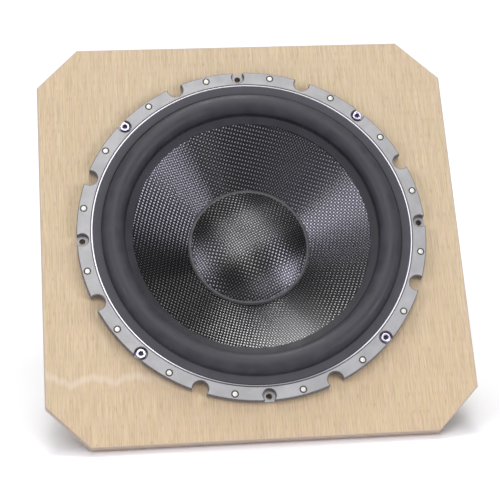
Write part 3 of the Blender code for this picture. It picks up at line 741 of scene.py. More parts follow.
def carbon_weave():
    """Carbon tows. The mesh marks how high each tow stands and which way its fibres run. The colour
    darkens from each tow's crown into the gaps between tows, which is painted shade.
    """
    cloth = Finish("carbon_weave", (0.3, 0.3, 0.31), 0.37, 1.0, Anisotropic=0.95)
    crown = cloth.mark("tow_crown", "Fac")
    across = {"Vector": cloth.mark("across_tow")}
    turn = {"vector_type": "VECTOR", "convert_from": "OBJECT", "convert_to": "WORLD"}
    cloth.fill(cloth.shader["Tangent"], cloth.node("VectorTransform", across, "Vector", **turn))
    spread = cloth.noise(0.0009, 3.0)
    # Painted shade: dark in the gaps between tows, light on their crowns.
    tone = cloth.mixed(cloth.span(crown, 0.3, 0.9), (0.045, 0.045, 0.046), (0.43, 0.43, 0.44))
    cloth.colour(cloth.mixed(cloth.span(spread, 0.35, 0.7, 0, 0.3), tone, (0.1, 0.1, 0.1)))
    return cloth.material


def glue():
    """Grey-black resin, satin and slightly uneven."""
    bead = Finish("grey_resin", (0.07, 0.07, 0.072), 0.45)
    bead.relief(bead.noise(0.004, 3.0), 0.0004)
    bead.roughness(bead.span(bead.noise(0.01), 0.35, 0.65, 0.4, 0.55))
    return bead.material


def spider_cloth():
    """Resin-stiffened cotton with an open plain weave."""
    cloth = Finish("spider_cloth", (0.50, 0.36, 0.16), 0.8, Sheen_Weight=0.2)
    grid = {"Scale": 1, "Vector": cloth.stretched((0.0025, 0.0025, 0.0025))}
    threads = [cloth.node("TexWave", grid, "Fac", bands_direction=axis) for axis in "XY"]
    weave = cloth.maths("MULTIPLY", *threads)
    resin = cloth.noise(0.008, 3.0)
    tone = cloth.mixed(cloth.span(resin, 0.35, 0.7), (0.55, 0.39, 0.18), (0.42, 0.28, 0.11))
    cloth.colour(cloth.mixed(cloth.span(weave, 0, 0.6), (0.24, 0.15, 0.06), tone))
    cloth.relief(weave, 0.0002)
    return cloth.material


def mottled(name, colour, roughness, metallic=0.0, size=0.006, depth=0.00005, grain=0.0008):
    """A plain finish with soft clouds in its tone and a fine grain."""
    skin = Finish(name, colour, roughness, metallic)
    clouds = skin.noise(size, 4.0)
    darker = tuple(0.72 * c for c in colour)
    skin.colour(skin.mixed(skin.span(clouds, 0.35, 0.7), colour, darker))
    skin.roughness(skin.span(clouds, 0.3, 0.7, roughness - 0.06, roughness + 0.08))
    skin.relief(skin.noise(grain), depth)
    return skin.material


PLY_FACE = plywood_face()
PLY_EDGE = plywood_edge()
ALUMINIUM = satin_aluminium()
MACHINED = machined_aluminium_painted_shade()
NICKEL = plated("bright_nickel", (0.74, 0.73, 0.66), 0.5)
CHROME = plated("chrome", (0.74, 0.70, 0.90), 0.26)
# Painted shade: a darker aluminium for the walls of the flange's face layer, in its counterbores,
# notches, pockets, rim and groove.
SHADED_WALL_ALUMINIUM = mottled("shaded_wall_aluminium", (0.21, 0.195, 0.19), 0.6, 0.4, size=0.003)
ZINC = plated("zinc_plate", (0.62, 0.62, 0.60), 0.28)
BRASS = plated("brass", (0.78, 0.58, 0.26), 0.25)
COPPER = plated("copper", (0.74, 0.36, 0.20), 0.22, 0.0015)
TINSEL = plated("tinsel_braid", (0.74, 0.62, 0.42), 0.35, 0.0009)
ROLL_RUBBER = rubber("roll_rubber", (0.039, 0.038, 0.044), 0.5, 0.0006, 0.00002)
# Painted shade: the darker rubber of the lip and of the crease at the roll's inner foot, which the roll
# shades.
LIP_SHADE_RUBBER = rubber("lip_shade_rubber", (0.026, 0.026, 0.031), 0.55, 0.0006, 0.00002)
BAND_RUBBER = rubber("band_rubber", (0.052, 0.051, 0.058), 0.62, 0.0009, 0.0001)
CARBON = carbon_weave()
GLUE = glue()
SPIDER_CLOTH = spider_cloth()
CONE_BACKING = mottled("cone_backing", (0.045, 0.045, 0.048), 0.6, size=0.004, depth=0.0001)
FILM = mottled("former_film", (0.30, 0.16, 0.05), 0.35)
BLACK_STEEL = mottled("black_steel", (0.035, 0.035, 0.038), 0.34, 0.6, depth=0.00002)
FERRITE = mottled("ferrite", (0.055, 0.055, 0.06), 0.62, size=0.003, depth=0.0001)
PHENOLIC = mottled("phenolic_board", (0.10, 0.05, 0.028), 0.5, size=0.0015)
# Painted shade: near-black colour for the floor of a screw's hex socket, which its walls shade.
SOCKET_SHADE = mottled("socket_shade", (0.02, 0.018, 0.03), 0.5, size=0.001)
FOAM = mottled("gasket_foam", (0.03, 0.03, 0.03), 0.9, depth=0.0004)


# ---- Board and basket ----

BOLT_ANGLES = even_angles(BOLT_COUNT)  # the flange's holes, from the right-hand one anticlockwise
GRILLE_MAGNET_ANGLES = even_angles(GRILLE_MAGNET_COUNT, 0.5)  # two between each pair of holes
SPOKE_ANGLES = even_angles(SPOKE_COUNT, 0.5)  # with one at the top for the terminal block


def baffle_board():
    """The plywood board with its cut corners, cut-out and eight holes."""
    half = BOARD_SIDE / 2
    cut = half - BOARD_CHAMFER
    corners = [(cut, -half), (half, -cut), (half, cut), (cut, half)]
    outline = rounded(corners + [(-x, -y) for x, y in corners], BOARD_CORNER)
    loops = [outline, circle(CUTOUT_RADIUS, steps=SEGMENTS)]
    turned = [angle + DRIVER_TWIST for angle in BOLT_ANGLES]
    loops += ring_of_circles(BOLT_HOLE_RADIUS, turned[::2], BOLT_CIRCLE_RADIUS)
    loops += ring_of_circles(TEE_NUT_BARREL_RADIUS + GAP, turned[1::2], BOLT_CIRCLE_RADIUS)
    cage = Cage()
    add_plate(cage, loops, 0, -BOARD_THICKNESS, BOARD_EDGE, wall=1)
    piece("plywood_board", cage, (PLY_FACE, PLY_EDGE), ["baffle_board"], home=BOARD)


def counterbore_mouth():
    """An open counterbore at the flange's rim, from its clockwise side round to the other."""
    half = COUNTERBORE_SLOT / 2
    mouth = math.asin(half / COUNTERBORE_RADIUS)
    centre = (BOLT_CIRCLE_RADIUS, 0)
    bore = arc(centre, COUNTERBORE_RADIUS, -mouth, mouth - math.tau, 28)
    rim = math.sqrt(FLANGE_RADIUS**2 - half**2)
    return [(rim, -half, RIM_CORNER)] + [(*p, 0) for p in bore] + [(rim, half, RIM_CORNER)]


def notch_mouth():
    """A through notch in the flange's rim."""
    x = (FLANGE_RADIUS**2 - NOTCH_RADIUS**2 + NOTCH_CENTRE**2) / (2 * NOTCH_CENTRE)
    mouth = math.acos((x - NOTCH_CENTRE) / NOTCH_RADIUS)
    sweep = arc((NOTCH_CENTRE, 0), NOTCH_RADIUS, -mouth, mouth - math.tau, 28)
    first, *middle, last = sweep
    return [(*first, RIM_CORNER)] + [(*p, 0) for p in middle] + [(*last, RIM_CORNER)]


def flange_loop(open_counterbores):
    """The flange's outline, anticlockwise, with rim arcs between its mouths."""
    mouths = []
    half_step = math.pi / BOLT_COUNT
    for angle in BOLT_ANGLES:
        if open_counterbores:
            mouths.append(turned_points(counterbore_mouth(), angle))
        mouths.append(turned_points(notch_mouth(), angle + half_step))
    loop = []
    for mouth, following in zip(mouths, mouths[1:] + mouths[:1]):
        start = math.atan2(mouth[-1][1], mouth[-1][0])
        end = math.atan2(following[0][1], following[0][0])
        end += math.tau if end < start else 0
        steps = max(4, round((end - start) / math.tau * SEGMENTS))
        rim = arc((0, 0), FLANGE_RADIUS, start, end, steps)[1:-1]
        loop += mouth + [(*p, 0) for p in rim]
    return rounded(loop, RIM_CORNER)


def add_flange(cage):
    """The flange in two layers: the lower one takes the screws and the upper has the counterbores."""
    inner = circle(GASKET_OUTER_RADIUS + GAP, steps=SEGMENTS)
    bores = ring_of_circles(BOLT_HOLE_RADIUS, BOLT_ANGLES, BOLT_CIRCLE_RADIUS)
    add_plate(cage, [flange_loop(False), inner, *bores], COUNTERBORE_FLOOR, GAP, (0, 0.0002))
    inner = circle(LIP_GROOVE_RADIUS, steps=SEGMENTS)
    pockets = ring_of_circles(GRILLE_POCKET_RADIUS, GRILLE_MAGNET_ANGLES, BOLT_CIRCLE_RADIUS)
    loops = [flange_loop(True), inner, *pockets]
    # Painted shade: the walls of this layer take the darker aluminium.
    add_plate(cage, loops, FLANGE_FACE, COUNTERBORE_FLOOR - LAYER_OVERLAP, (FLANGE_EDGE, 0), wall=2)


def add_lip_and_barrel(cage):
    """The bright turned lip inside the flange, the surround's ledge and the barrel."""
    across, down = LIP_CHAMFER
    lip = [
        (LIP_OUTER_RADIUS, FLANGE_FACE, 0.0003),
        (LIP_OUTER_RADIUS, LEDGE_HEIGHT - LAYER_OVERLAP, 0),
        (LIP_RADIUS, LEDGE_HEIGHT - LAYER_OVERLAP, 0),
        (LIP_RADIUS, FLANGE_FACE - down, 0.0002),
        (LIP_RADIUS + across, FLANGE_FACE, 0.0002),
    ]
    add_turned(cage, rounded(lip, 0), finish=1)
    recess_top = GAP + GASKET_THICKNESS + GAP
    layer_top = COUNTERBORE_FLOOR - LAYER_OVERLAP
    body = [
        (LIP_GROOVE_RADIUS + LAYER_OVERLAP, LEDGE_HEIGHT, 0),
        (LIP_GROOVE_RADIUS + LAYER_OVERLAP, layer_top, 0),
        (GASKET_OUTER_RADIUS + LAYER_OVERLAP, layer_top, 0),
        (GASKET_OUTER_RADIUS + LAYER_OVERLAP, recess_top, 0),
        (BARREL_RADIUS, recess_top, 0.0006),
        (BARREL_RADIUS, -BARREL_DEPTH, 0.0008),
        (BARREL_RADIUS - BARREL_WALL, -BARREL_DEPTH, 0.0008),
        (LEDGE_INNER_RADIUS, recess_top, 0.0015),
        (LEDGE_INNER_RADIUS, LEDGE_HEIGHT, 0.0005),
    ]
    add_turned(cage, rounded(body, 0))


def bowl_outline():
    """The lower bowl: the spider's shelf, a tapering wall and the seat on the motor's top plate."""
    seat = TOP_PLATE_FACE + GAP
    rim_top = SPIDER_SHELF + SPIDER_RIM_HEIGHT
    section = [
        (SPIDER_SHELF_RADIUS, SPIDER_SHELF, 0.0008),
        (SPIDER_RIM_RADIUS, SPIDER_SHELF, 0.0004),
        (SPIDER_RIM_RADIUS, rim_top, 0.0006),
        (BOWL_RADIUS, rim_top, 0.0008),
        (BOWL_RADIUS, SPIDER_SHELF - 0.002, 0.003),
        (BOWL_FOOT_RADIUS, seat + 0.005, 0.003),
        (BOWL_FOOT_RADIUS, seat, 0.0012),
        (BOWL_BORE, seat, 0.0005),
        (BOWL_BORE, BOWL_FLOOR, 0.0012),
        (BOWL_INNER_RADIUS, BOWL_FLOOR, 0.004),
    ]
    return rounded(section, 0)


def vented_bowl():
    """The bowl with a round-cornered vent through its wall between each pair of spokes."""
    solid, vents = Cage(), Cage()
    add_turned(solid, bowl_outline(), MIDDLE_SEGMENTS)
    loop = rectangle(*BOWL_VENT)
    for angle in even_angles(SPOKE_COUNT):
        spot = around(angle, BOWL_FOOT_RADIUS, BOWL_VENT_HEIGHT)
        outward = spot @ Matrix.Rotation(math.pi / 2, 4, "Y")
        add_plate(vents, [loop], BOWL_VENT_REACH, -BOWL_VENT_REACH, 0, outward)
    return cut(solid, vents)


def cut(solid, cutter):
    """A cage with another one cut out of it."""
    made = []
    for name, cage in (("solid", solid), ("cutter", cutter)):
        mesh = bpy.data.meshes.new(name)
        mesh.from_pydata(cage.points, [], cage.faces)
        made.append(added(name, mesh))
    modifier = made[0].modifiers.new("cut", "BOOLEAN")
    modifier.object = made[1]
    evaluated = made[0].evaluated_get(bpy.context.evaluated_depsgraph_get())
    result = bpy.data.meshes.new_from_object(evaluated)
    left = Cage()
    points = [vertex.co for vertex in result.vertices]
    left.add(points, [list(face.vertices) for face in result.polygons])
    for obj in made:
        bpy.data.objects.remove(obj)
    return left


def spoke_outline(recess):
    """Side view of a spoke, as (radius, height) points. A recess moves its rear edge inward."""
    upper, lower = (Vector(point) + recess * Vector(SPOKE_INWARD) for point in SPOKE_BACK)
    return [
        (0.1393, -0.0060, 0),
        (0.1415, -0.0060, 0),
        (*upper, 0.006),
        (*lower, 0.004),
        (0.0830, -0.0790, 0.0005),
        (0.0830, -0.0725, 0.0005),
        (0.0880, -0.0685, 0.002),
        (0.1393, -0.0105, 0.002),
    ]


def add_spokes(cage):
    """Six channel-shaped spokes: a web between two rails."""
    half = SPOKE_WIDTH / 2
    for angle in SPOKE_ANGLES:
        upright = Matrix.Rotation(angle, 4, "Z") @ Matrix.Rotation(math.pi / 2, 4, "X")
        for side in (-1, 1):
            low, high = sorted((side * (half - SPOKE_RAIL), side * half))
            add_plate(cage, [rounded(spoke_outline(0), 0)], high, low, SPOKE_EDGE, upright)
        inner = half - SPOKE_RAIL + LAYER_OVERLAP
        add_plate(cage, [rounded(spoke_outline(SPOKE_RECESS), 0)], inner, -inner, 0, upright)


def basket():
    """The casting: flange, lip, barrel, spokes and vented bowl."""
    cage = Cage()
    add_flange(cage)
    add_lip_and_barrel(cage)
    add_spokes(cage)
    bowl = vented_bowl()
    cage.add(bowl.points, bowl.faces)
    piece("basket_casting", cage, (ALUMINIUM, MACHINED, SHADED_WALL_ALUMINIUM), ["basket"])
    top = GAP + GASKET_THICKNESS
    section = box_section(CUTOUT_RADIUS + 0.0004, GASKET_OUTER_RADIUS, top, GAP)
    ring("gasket_ring", section, FINE_EDGE, FOAM, "gasket_foam", "flange_gasket", segments=SEGMENTS)


def grille_magnets():
    """Sixteen nickel-plated magnets, flush with the flange."""
    cage = Cage()
    bottom = FLANGE_FACE - GRILLE_MAGNET_DEPTH
    for angle in GRILLE_MAGNET_ANGLES:
        spot = around(angle, BOLT_CIRCLE_RADIUS)
        outline = [(0, FLANGE_FACE), (GRILLE_MAGNET_RADIUS, FLANGE_FACE, 0.0003)]
        outline += [(GRILLE_MAGNET_RADIUS, bottom), (0, bottom)]
        add_turned(cage, rounded(outline, 0.0002, closed=False), 32, spot, closed=False)
    nodes = [f"grille_magnet_{number:02d}" for number in range(1, GRILLE_MAGNET_COUNT + 1)]
    piece("grille_magnet_discs", cage, (NICKEL,), nodes)


# ---- Fasteners ----


def add_thread(cage, top, length, matrix):
    """A shank with a V thread that ends in a small chamfer."""
    rings = round(length / SCREW_PITCH * SCREW_TURN_STEPS)
    points = []
    for ring in range(rings + 1):
        height = top - length * ring / rings
        taper = min(1, SCREW_TIP + (height - top + length) / SCREW_PITCH * (1 - SCREW_TIP))
        for angle in even_angles(TINY_SEGMENTS):
            phase = (height / SCREW_PITCH - angle / math.tau) % 1
            radius = (SCREW_SHANK_RADIUS - SCREW_THREAD_DEPTH * abs(2 * phase - 1)) * taper
            points.append((radius * math.cos(angle), radius * math.sin(angle), height))
    add_bar(cage, points, TINY_SEGMENTS, matrix, turned_over=True)


def add_socket_screw(cage, matrix, seat, length):
    """A socket-head screw with its head standing on the height seat."""
    top = seat + SCREW_HEAD_HEIGHT
    floor = top - SCREW_SOCKET_DEPTH
    hexagon = rounded(circle(SCREW_SOCKET_WIDTH / math.sqrt(3), steps=6), 0.0001)
    rim = circle(SCREW_HEAD_RADIUS)
    add_plate(cage, [rim, hexagon], top, floor - 0.0002, (0.0006, 0), matrix)
    add_plate(cage, [rim], floor, seat, (0, 0.0002), matrix)
    # Painted shade: a dark plug over the socket's floor, where the socket's walls shade it.
    shade_plug = circle(SCREW_SOCKET_WIDTH / math.sqrt(3) + 0.0001, steps=6)
    add_plate(cage, [shade_plug], floor + 0.0004, floor - 0.0001, 0, matrix, finish=1)
    add_thread(cage, seat + 0.0005, length + 0.0005, matrix)


def screws(name, angles, circle_radius, seat, length, finish, node):
    """A set of equal screws, each standing for its own CAD node."""
    for number, angle in enumerate(angles, 1):
        cage = Cage()
        add_socket_screw(cage, around(angle, circle_radius), seat, length)
        piece(f"{name}_{number}", cage, (finish, SOCKET_SHADE), [f"{node}_{number}"])


def tee_nuts():
    """Zinc-plated tee nuts behind the board, with three prong cut-outs in each plate."""
    plate_top = -BOARD_THICKNESS - GAP
    for number, angle in enumerate(BOLT_ANGLES[1::2], 1):
        cage = Cage()
        spot = around(angle, BOLT_CIRCLE_RADIUS)
        barrel = [
            (TEE_NUT_BARREL_RADIUS, TEE_NUT_BARREL_TOP),
            (TEE_NUT_BARREL_RADIUS, plate_top - 0.0002),
            (BOLT_HOLE_RADIUS, plate_top - 0.0002),
            (BOLT_HOLE_RADIUS, TEE_NUT_BARREL_TOP),
        ]
        add_turned(cage, rounded(barrel, FINE_EDGE), SMALL_SEGMENTS, spot)
        slot = [(x + TEE_NUT_SLOT_CIRCLE, y) for x, y in rectangle(*TEE_NUT_SLOT)]
        slots = [turned_points(slot, turn) for turn in even_angles(3)]
        loops = [circle(TEE_NUT_PLATE_RADIUS), circle(BOLT_HOLE_RADIUS), *slots]
        add_plate(cage, loops, plate_top, plate_top - TEE_NUT_PLATE_THICKNESS, 0.0003, spot)
        piece(f"tee_nut_plate_{number}", cage, (ZINC,), [f"tee_nut_{number}"])


# ---- Cone, surround and spider ----


def cone_height(radius):
    """Height of the cone's front surface, for a number or an array of radii."""
    weave_height = CAP_RIM_HEIGHT + CONE_SLOPE * (WEAVE_RADIUS - CAP_RADIUS)
    slope = np.where(radius < WEAVE_RADIUS, CONE_SLOPE, CONE_EDGE_SLOPE)
    return weave_height + slope * (radius - WEAVE_RADIUS)


def cap_height(radius):
    """Height of the dust cap's front surface, a dome and its land, in the same way."""
    dome = CAP_RADIUS - CAP_LAND
    sphere = (dome**2 + CAP_RISE**2) / (2 * CAP_RISE)
    rim = CAP_RIM_HEIGHT + GAP + CAP_THICKNESS
    return rim + CAP_RISE - sphere + np.sqrt(sphere**2 - np.minimum(radius, dome)**2)


def cone_share(angle):
    """How far along a straight tow a cloth point lies, as a share of its distance from the cone's
    apex, at this angle from the tow. It is the shear of a net on a cone, softened beside the tow."""
    turn = math.pi / 2 / math.hypot(1, CONE_SLOPE)
    kink = math.cos(turn) / math.sin(turn) * turn / (math.pi / 2)
    plain = np.sin(turn * (1 - angle / (math.pi / 2))) / math.sin(turn)
    softer = kink * KINK_SOFTNESS * (1 - np.exp(-angle / KINK_SOFTNESS))
    repaid = kink * KINK_SOFTNESS * (4 / math.pi) * (angle / 2 - np.sin(4 * angle) / 8)
    return plain + softer - repaid


def draped_on_cone(u, v):
    """Where a cloth point lies on the cone, in plan. Four tows run straight down the cone, and
    between them the cloth shears, because its tows keep their length."""
    angle = np.linspace(0, math.pi / 2, 200)
    along, across = cone_share(angle), cone_share(angle[::-1])
    turned = np.interp(np.arctan2(abs(v), abs(u)), np.arctan2(across, along), angle)
    stretch = np.hypot(np.interp(turned, angle, along), np.interp(turned, angle, across))
    radius = np.hypot(u, v) / stretch / math.hypot(1, CONE_SLOPE)
    return np.sign(u) * radius * np.cos(turned), np.sign(v) * radius * np.sin(turned)


def tow_directions(points, upright):
    """The direction across each cell's tow, in its surface, from the undisturbed grid of points."""
    along_u = points[1:, :-1] - points[:-1, :-1]
    along_v = points[:-1, 1:] - points[:-1, :-1]
    along = np.where(upright[:-1, :-1, None], along_v, along_u)
    across = np.cross(np.cross(along_u, along_v), along)
    return across / np.maximum(np.linalg.norm(across, axis=2, keepdims=True), 1e-12)


def add_weave(cage, tow, crowns, lay, height_at, inner, outer):
    """A sheet of plain weave over a turned surface, with its grid along the tows. It sinks into the
    solid below past the inner and outer radius. Returns each point's height on its tow, and the
    direction across each face's tow."""
    step = tow / TOW_SAMPLES
    reach = math.ceil(WEAVE_SPREAD * outer / step)
    line = np.arange(-reach, reach + 1)
    u, v = np.meshgrid(line, line, indexing="ij")
    plan_x, plan_y = lay((u + TOW_START) * step, (v + TOW_START) * step)
    x = plan_x * math.cos(TOW_ANGLE) - plan_y * math.sin(TOW_ANGLE)
    y = plan_x * math.sin(TOW_ANGLE) + plan_y * math.cos(TOW_ANGLE)
    radius = np.hypot(x, y)
    upright = ((u // TOW_SAMPLES + v // TOW_SAMPLES) % 2).astype(bool)
    swell = [np.sin(np.pi * (side % TOW_SAMPLES) / TOW_SAMPLES) for side in (u, v)]
    narrow, long = np.where(upright, swell[0], swell[1]), np.where(upright, swell[1], swell[0])
    crown = narrow**TOW_ROUNDNESS * long**TOW_FLATNESS * np.where(upright, *crowns)
    sunk = np.clip(np.maximum(inner - radius, radius - outer) / step, 0, 1)
    height = height_at(radius)
    across = tow_directions(np.stack([x, y, height], axis=2), upright)
    height = height + TOW_RELIEF * crown * (1 - sunk) - TOW_SINK * sunk
    kept = (radius >= inner - 2 * step) & (radius <= outer + 2 * step)
    number = np.where(kept, np.cumsum(kept).reshape(kept.shape) - 1, -1)
    corners = [number[:-1, :-1], number[1:, :-1], number[1:, 1:], number[:-1, 1:]]
    faces = np.stack(corners, axis=2)
    whole = (faces >= 0).all(axis=2)
    cage.add(np.stack([x, y, height], axis=2)[kept].tolist(), faces[whole].tolist())
    return (crown * (1 - sunk))[kept], across[whole]


def woven_piece(name, cage, weave, outline, segments, node, closed):
    """A plain turned backing under a woven sheet, which is marked for the carbon material."""
    crown, across = weave
    add_turned(cage, outline, segments, finish=1, closed=closed)
    obj = piece(name, cage, (CARBON, CONE_BACKING), [node], MOVING)
    crowns = np.zeros(len(cage.points), np.float32)
    crowns[: len(crown)] = crown
    directions = np.zeros((len(cage.faces), 3), np.float32)
    directions[: len(across)] = across @ np.array(DRIVER.to_3x3()).T
    obj.data.attributes.new("tow_crown", "FLOAT", "POINT").data.foreach_set("value", crowns)
    marks = obj.data.attributes.new("across_tow", "FLOAT_VECTOR", "FACE")
    marks.data.foreach_set("vector", directions.ravel())


def cone():
    """The woven cone, one straight taper with a flatter edge under the surround's lip."""
    cage = Cage()
    inner, outer = CAP_RADIUS - 0.002, WEAVE_RADIUS + 0.001
    weave = add_weave(cage, CONE_TOW, CONE_CROWNS, draped_on_cone, cone_height, inner, outer)
    radii = (CONE_NECK_RADIUS, WEAVE_RADIUS + 0.0015, CONE_EDGE_RADIUS)
    front = [(radius, float(cone_height(radius)) - WEAVE_BACKING) for radius in radii]
    back = [(radius, height - CONE_THICKNESS + WEAVE_BACKING) for radius, height in front[::-1]]
    outline = rounded(front + back, 0.0004)
    woven_piece("carbon_cone", cage, weave, outline, SEGMENTS, "cone", True)


def dust_cap():
    """The woven dome over the voice coil, and the glue that holds its rim."""
    cage = Cage()
    foot = CAP_RADIUS - CAP_LAND
    outer = foot + 0.0008
    weave = add_weave(cage, CAP_TOW, CAP_CROWNS, lambda *flat: flat, cap_height, -CAP_TOW, outer)
    radii = [CAP_RADIUS * step / CAP_STEPS for step in range(CAP_STEPS + 1)]
    front = [(radius, float(cap_height(radius)) - WEAVE_BACKING) for radius in radii]
    back = [(radius, height - CAP_THICKNESS + WEAVE_BACKING) for radius, height in front[::-1]]
    woven_piece("carbon_dust_cap", cage, weave, front + back, SEGMENTS, "dust_cap", False)
    land, outer = float(cap_height(CAP_RADIUS)), CAP_RADIUS + 0.0007
    rim = [
        (foot + 0.0004, land - CAP_THICKNESS / 2, 0),
        (foot, land + 0.0004, 0.0002),
        (foot + 0.0005, land + 0.0003, 0.0002),
        (CAP_RADIUS - 0.0004, land + 0.0003, 0.0005),
        (CAP_RADIUS, float(cone_height(CAP_RADIUS)) + 0.0004, 0.0003),
        (outer, float(cone_height(outer)) + TOW_RELIEF + 0.0001, 0),
        (outer, float(cone_height(outer)) - 0.0006, 0),
        (CAP_RADIUS - 0.0006, CAP_RIM_HEIGHT - 0.0006, 0),
    ]
    cage = Cage()
    add_turned(cage, rounded(rim, 0))
    piece("cap_glue_bead", cage, (GLUE,), [], MOVING)


def roll_arc(offset):
    """Points over the surround's half roll, from its inner foot to its outer foot."""
    inner = Vector((ROLL_INNER_RADIUS, float(cone_height(ROLL_INNER_RADIUS)) + LIP_THICKNESS))
    outer = Vector((ROLL_OUTER_RADIUS, SURROUND_TOP))
    centre, across = (inner + outer) / 2, (outer - inner) / 2
    upward = Vector((-across.y, across.x))
    scale = 1 - offset / across.length
    points = []
    for step in range(1, ROLL_STEPS):
        angle = math.pi * step / ROLL_STEPS
        point = centre + scale * (upward * math.sin(angle) - across * math.cos(angle))
        points.append((point.x, point.y, 0))
    return points


def surround_outline():
    """The surround's section: lip, creases at the feet of the roll, and the flat outer band."""
    band_radius = LIP_RADIUS - GAP
    band_bottom = SURROUND_TOP - SURROUND_THICKNESS
    foot = ROLL_INNER_RADIUS + ROLL_THICKNESS

    def lip(radius, above):
        return (radius, float(cone_height(radius)) + above)

    top = [(*lip(WEAVE_RADIUS, LIP_THICKNESS), 0.0008)]
    top += [(*lip(ROLL_INNER_RADIUS - CREASE_WIDTH, LIP_THICKNESS), 0.0005)]
    top += [(*lip(ROLL_INNER_RADIUS, LIP_THICKNESS - CREASE_DEPTH), 0.0002)]
    top += roll_arc(0)[1:-1]
    top += [(ROLL_OUTER_RADIUS, SURROUND_TOP - CREASE_DEPTH, 0.0002)]
    top += [(radius, SURROUND_TOP, 0.0005) for radius in (ROLL_OUTER_RADIUS + CREASE_WIDTH, band_radius)]
    bottom = [(band_radius, band_bottom, 0), (LEDGE_INNER_RADIUS, band_bottom, 0.0004)]
    bottom += roll_arc(ROLL_THICKNESS)[::-1]
    bottom += [(*lip(foot, GAP), 0), (*lip(WEAVE_RADIUS, GAP), 0.0002)]
    return rounded(top + bottom, 0)


def surround():
    """The rubber half roll. Its outer band has a coarser finish, and its inner lip and the crease at the
    roll's inner foot a darker rubber, which is painted shade from the roll.
    """
    cage = Cage()
    add_turned(cage, surround_outline())
    band_start = ROLL_OUTER_RADIUS + CREASE_WIDTH
    for number, face in enumerate(cage.faces):
        corner = cage.points[face[0]]
        radius = math.hypot(corner.x, corner.y)
        if radius > band_start and corner.z > SURROUND_TOP - CREASE_DEPTH:
            cage.finishes[number] = 1
        # Painted shade: the lip and the crease at the roll's inner foot take the darker rubber.
        elif radius < ROLL_INNER_RADIUS:
            cage.finishes[number] = 2
    finishes = (ROLL_RUBBER, BAND_RUBBER, LIP_SHADE_RUBBER)
    share = radial_share(ROLL_OUTER_RADIUS, ROLL_INNER_RADIUS)
    flexing_piece("surround_roll", cage, finishes, ["surround"], share)


def spider():
    """The corrugated cloth disc that centres the voice coil."""
    flat = SPIDER_SHELF + GAP + SPIDER_THICKNESS
    first, last = SPIDER_WAVE_RADII
    steps = SPIDER_WAVE_STEPS * SPIDER_WAVES
    top = [(SPIDER_INNER_RADIUS, flat)]
    for step in range(steps + 1):
        share = step / steps
        fade = min(1, SPIDER_FADE * share, SPIDER_FADE * (1 - share))
        swing = SPIDER_WAVE_HEIGHT * fade * math.sin(math.tau * SPIDER_WAVES * share)
        top.append((first + (last - first) * share, flat - swing))
    top.append((SPIDER_OUTER_RADIUS, flat))
    bottom = [(radius, height - SPIDER_THICKNESS) for radius, height in reversed(top)]
    cage = Cage()
    add_turned(cage, top + bottom, MIDDLE_SEGMENTS)
    share = radial_share(last, first)
    flexing_piece("spider_disc", cage, (SPIDER_CLOTH,), ["spider"], share)


# ---- Voice coil and motor ----


def voice_coil():
    """The former, and the winding with its turns of wire."""
    section = box_section(FORMER_RADIUS - FORMER_WALL, FORMER_RADIUS, FORMER_TOP, FORMER_BOTTOM)
    ring("coil_former_tube", section, 0.0001, FILM, "former_film", "voice_coil_former", MOVING)
    middle = TOP_PLATE_FACE - TOP_PLATE_THICKNESS / 2
    top, turns = middle + WINDING_LENGTH / 2, round(WINDING_LENGTH / WIRE)
    inner = FORMER_RADIUS + GAP
    outline = [(inner, top)]
    for turn in range(turns):
        centre = (WINDING_RADIUS - WIRE / 2, top - WIRE * (turn + 0.5))
        outline += arc(centre, WIRE / 2, math.pi / 2, -math.pi / 2, 4)[:-1]
    outline.append((inner, top - WINDING_LENGTH))
    cage = Cage()
    add_turned(cage, outline, MIDDLE_SEGMENTS)
    piece("coil_wire_layers", cage, (COPPER,), ["voice_coil_winding"], MOVING)


def motor():
    """Top plate, two ferrite rings, back plate with its vented pole, and copper sleeve."""
    bottom = TOP_PLATE_FACE - TOP_PLATE_THICKNESS
    section = box_section(TOP_PLATE_BORE, MOTOR_RADIUS, TOP_PLATE_FACE, bottom)
    ring("top_plate_ring", section, PLATE_EDGE, BLACK_STEEL, "black_steel", "top_plate")
    for name in ("front_magnet", "rear_magnet"):
        top = bottom - GAP
        bottom = top - MAGNET_THICKNESS
        section = box_section(MAGNET_BORE, MAGNET_RADIUS, top, bottom)
        ring(name + "_ring", section, MAGNET_EDGE, FERRITE, "ferrite", name)
    recess_floor = -MOTOR_DEPTH + VENT_RECESS_DEPTH
    section = [
        (VENT_RADIUS, POLE_TOP),
        (POLE_RADIUS, POLE_TOP),
        (POLE_RADIUS, BACK_PLATE_FACE),
        (MOTOR_RADIUS, BACK_PLATE_FACE),
        (MOTOR_RADIUS, -MOTOR_DEPTH),
        (VENT_RECESS_RADIUS, -MOTOR_DEPTH),
        (VENT_RECESS_RADIUS, recess_floor),
        (VENT_RADIUS, recess_floor),
    ]
    ring("pole_and_back_plate", section, PLATE_EDGE, BLACK_STEEL, "black_steel", "back_plate")
    inner = POLE_RADIUS + GAP
    section = box_section(inner, inner + SLEEVE_WALL, POLE_TOP, SLEEVE_BOTTOM)
    ring("copper_sleeve", section, 0.0001, COPPER, "copper", "shorting_sleeve")


def vent_screen():
    """The perforated disc over the rear of the pole vent."""
    top = -MOTOR_DEPTH + VENT_RECESS_DEPTH - GAP
    loops = [circle(VENT_RECESS_RADIUS - 2 * GAP, steps=MIDDLE_SEGMENTS), circle(SCREEN_HOLE_RADIUS)]
    loops += ring_of_circles(SCREEN_HOLE_RADIUS, even_angles(6), SCREEN_HOLE_CIRCLE, SMALL_SEGMENTS)
    cage = Cage()
    add_plate(cage, loops, top, top - SCREEN_THICKNESS, 0.0002)
    piece("vent_screen", cage, (BLACK_STEEL,), ["pole_vent_screen"])


# ---- Terminals and leads ----


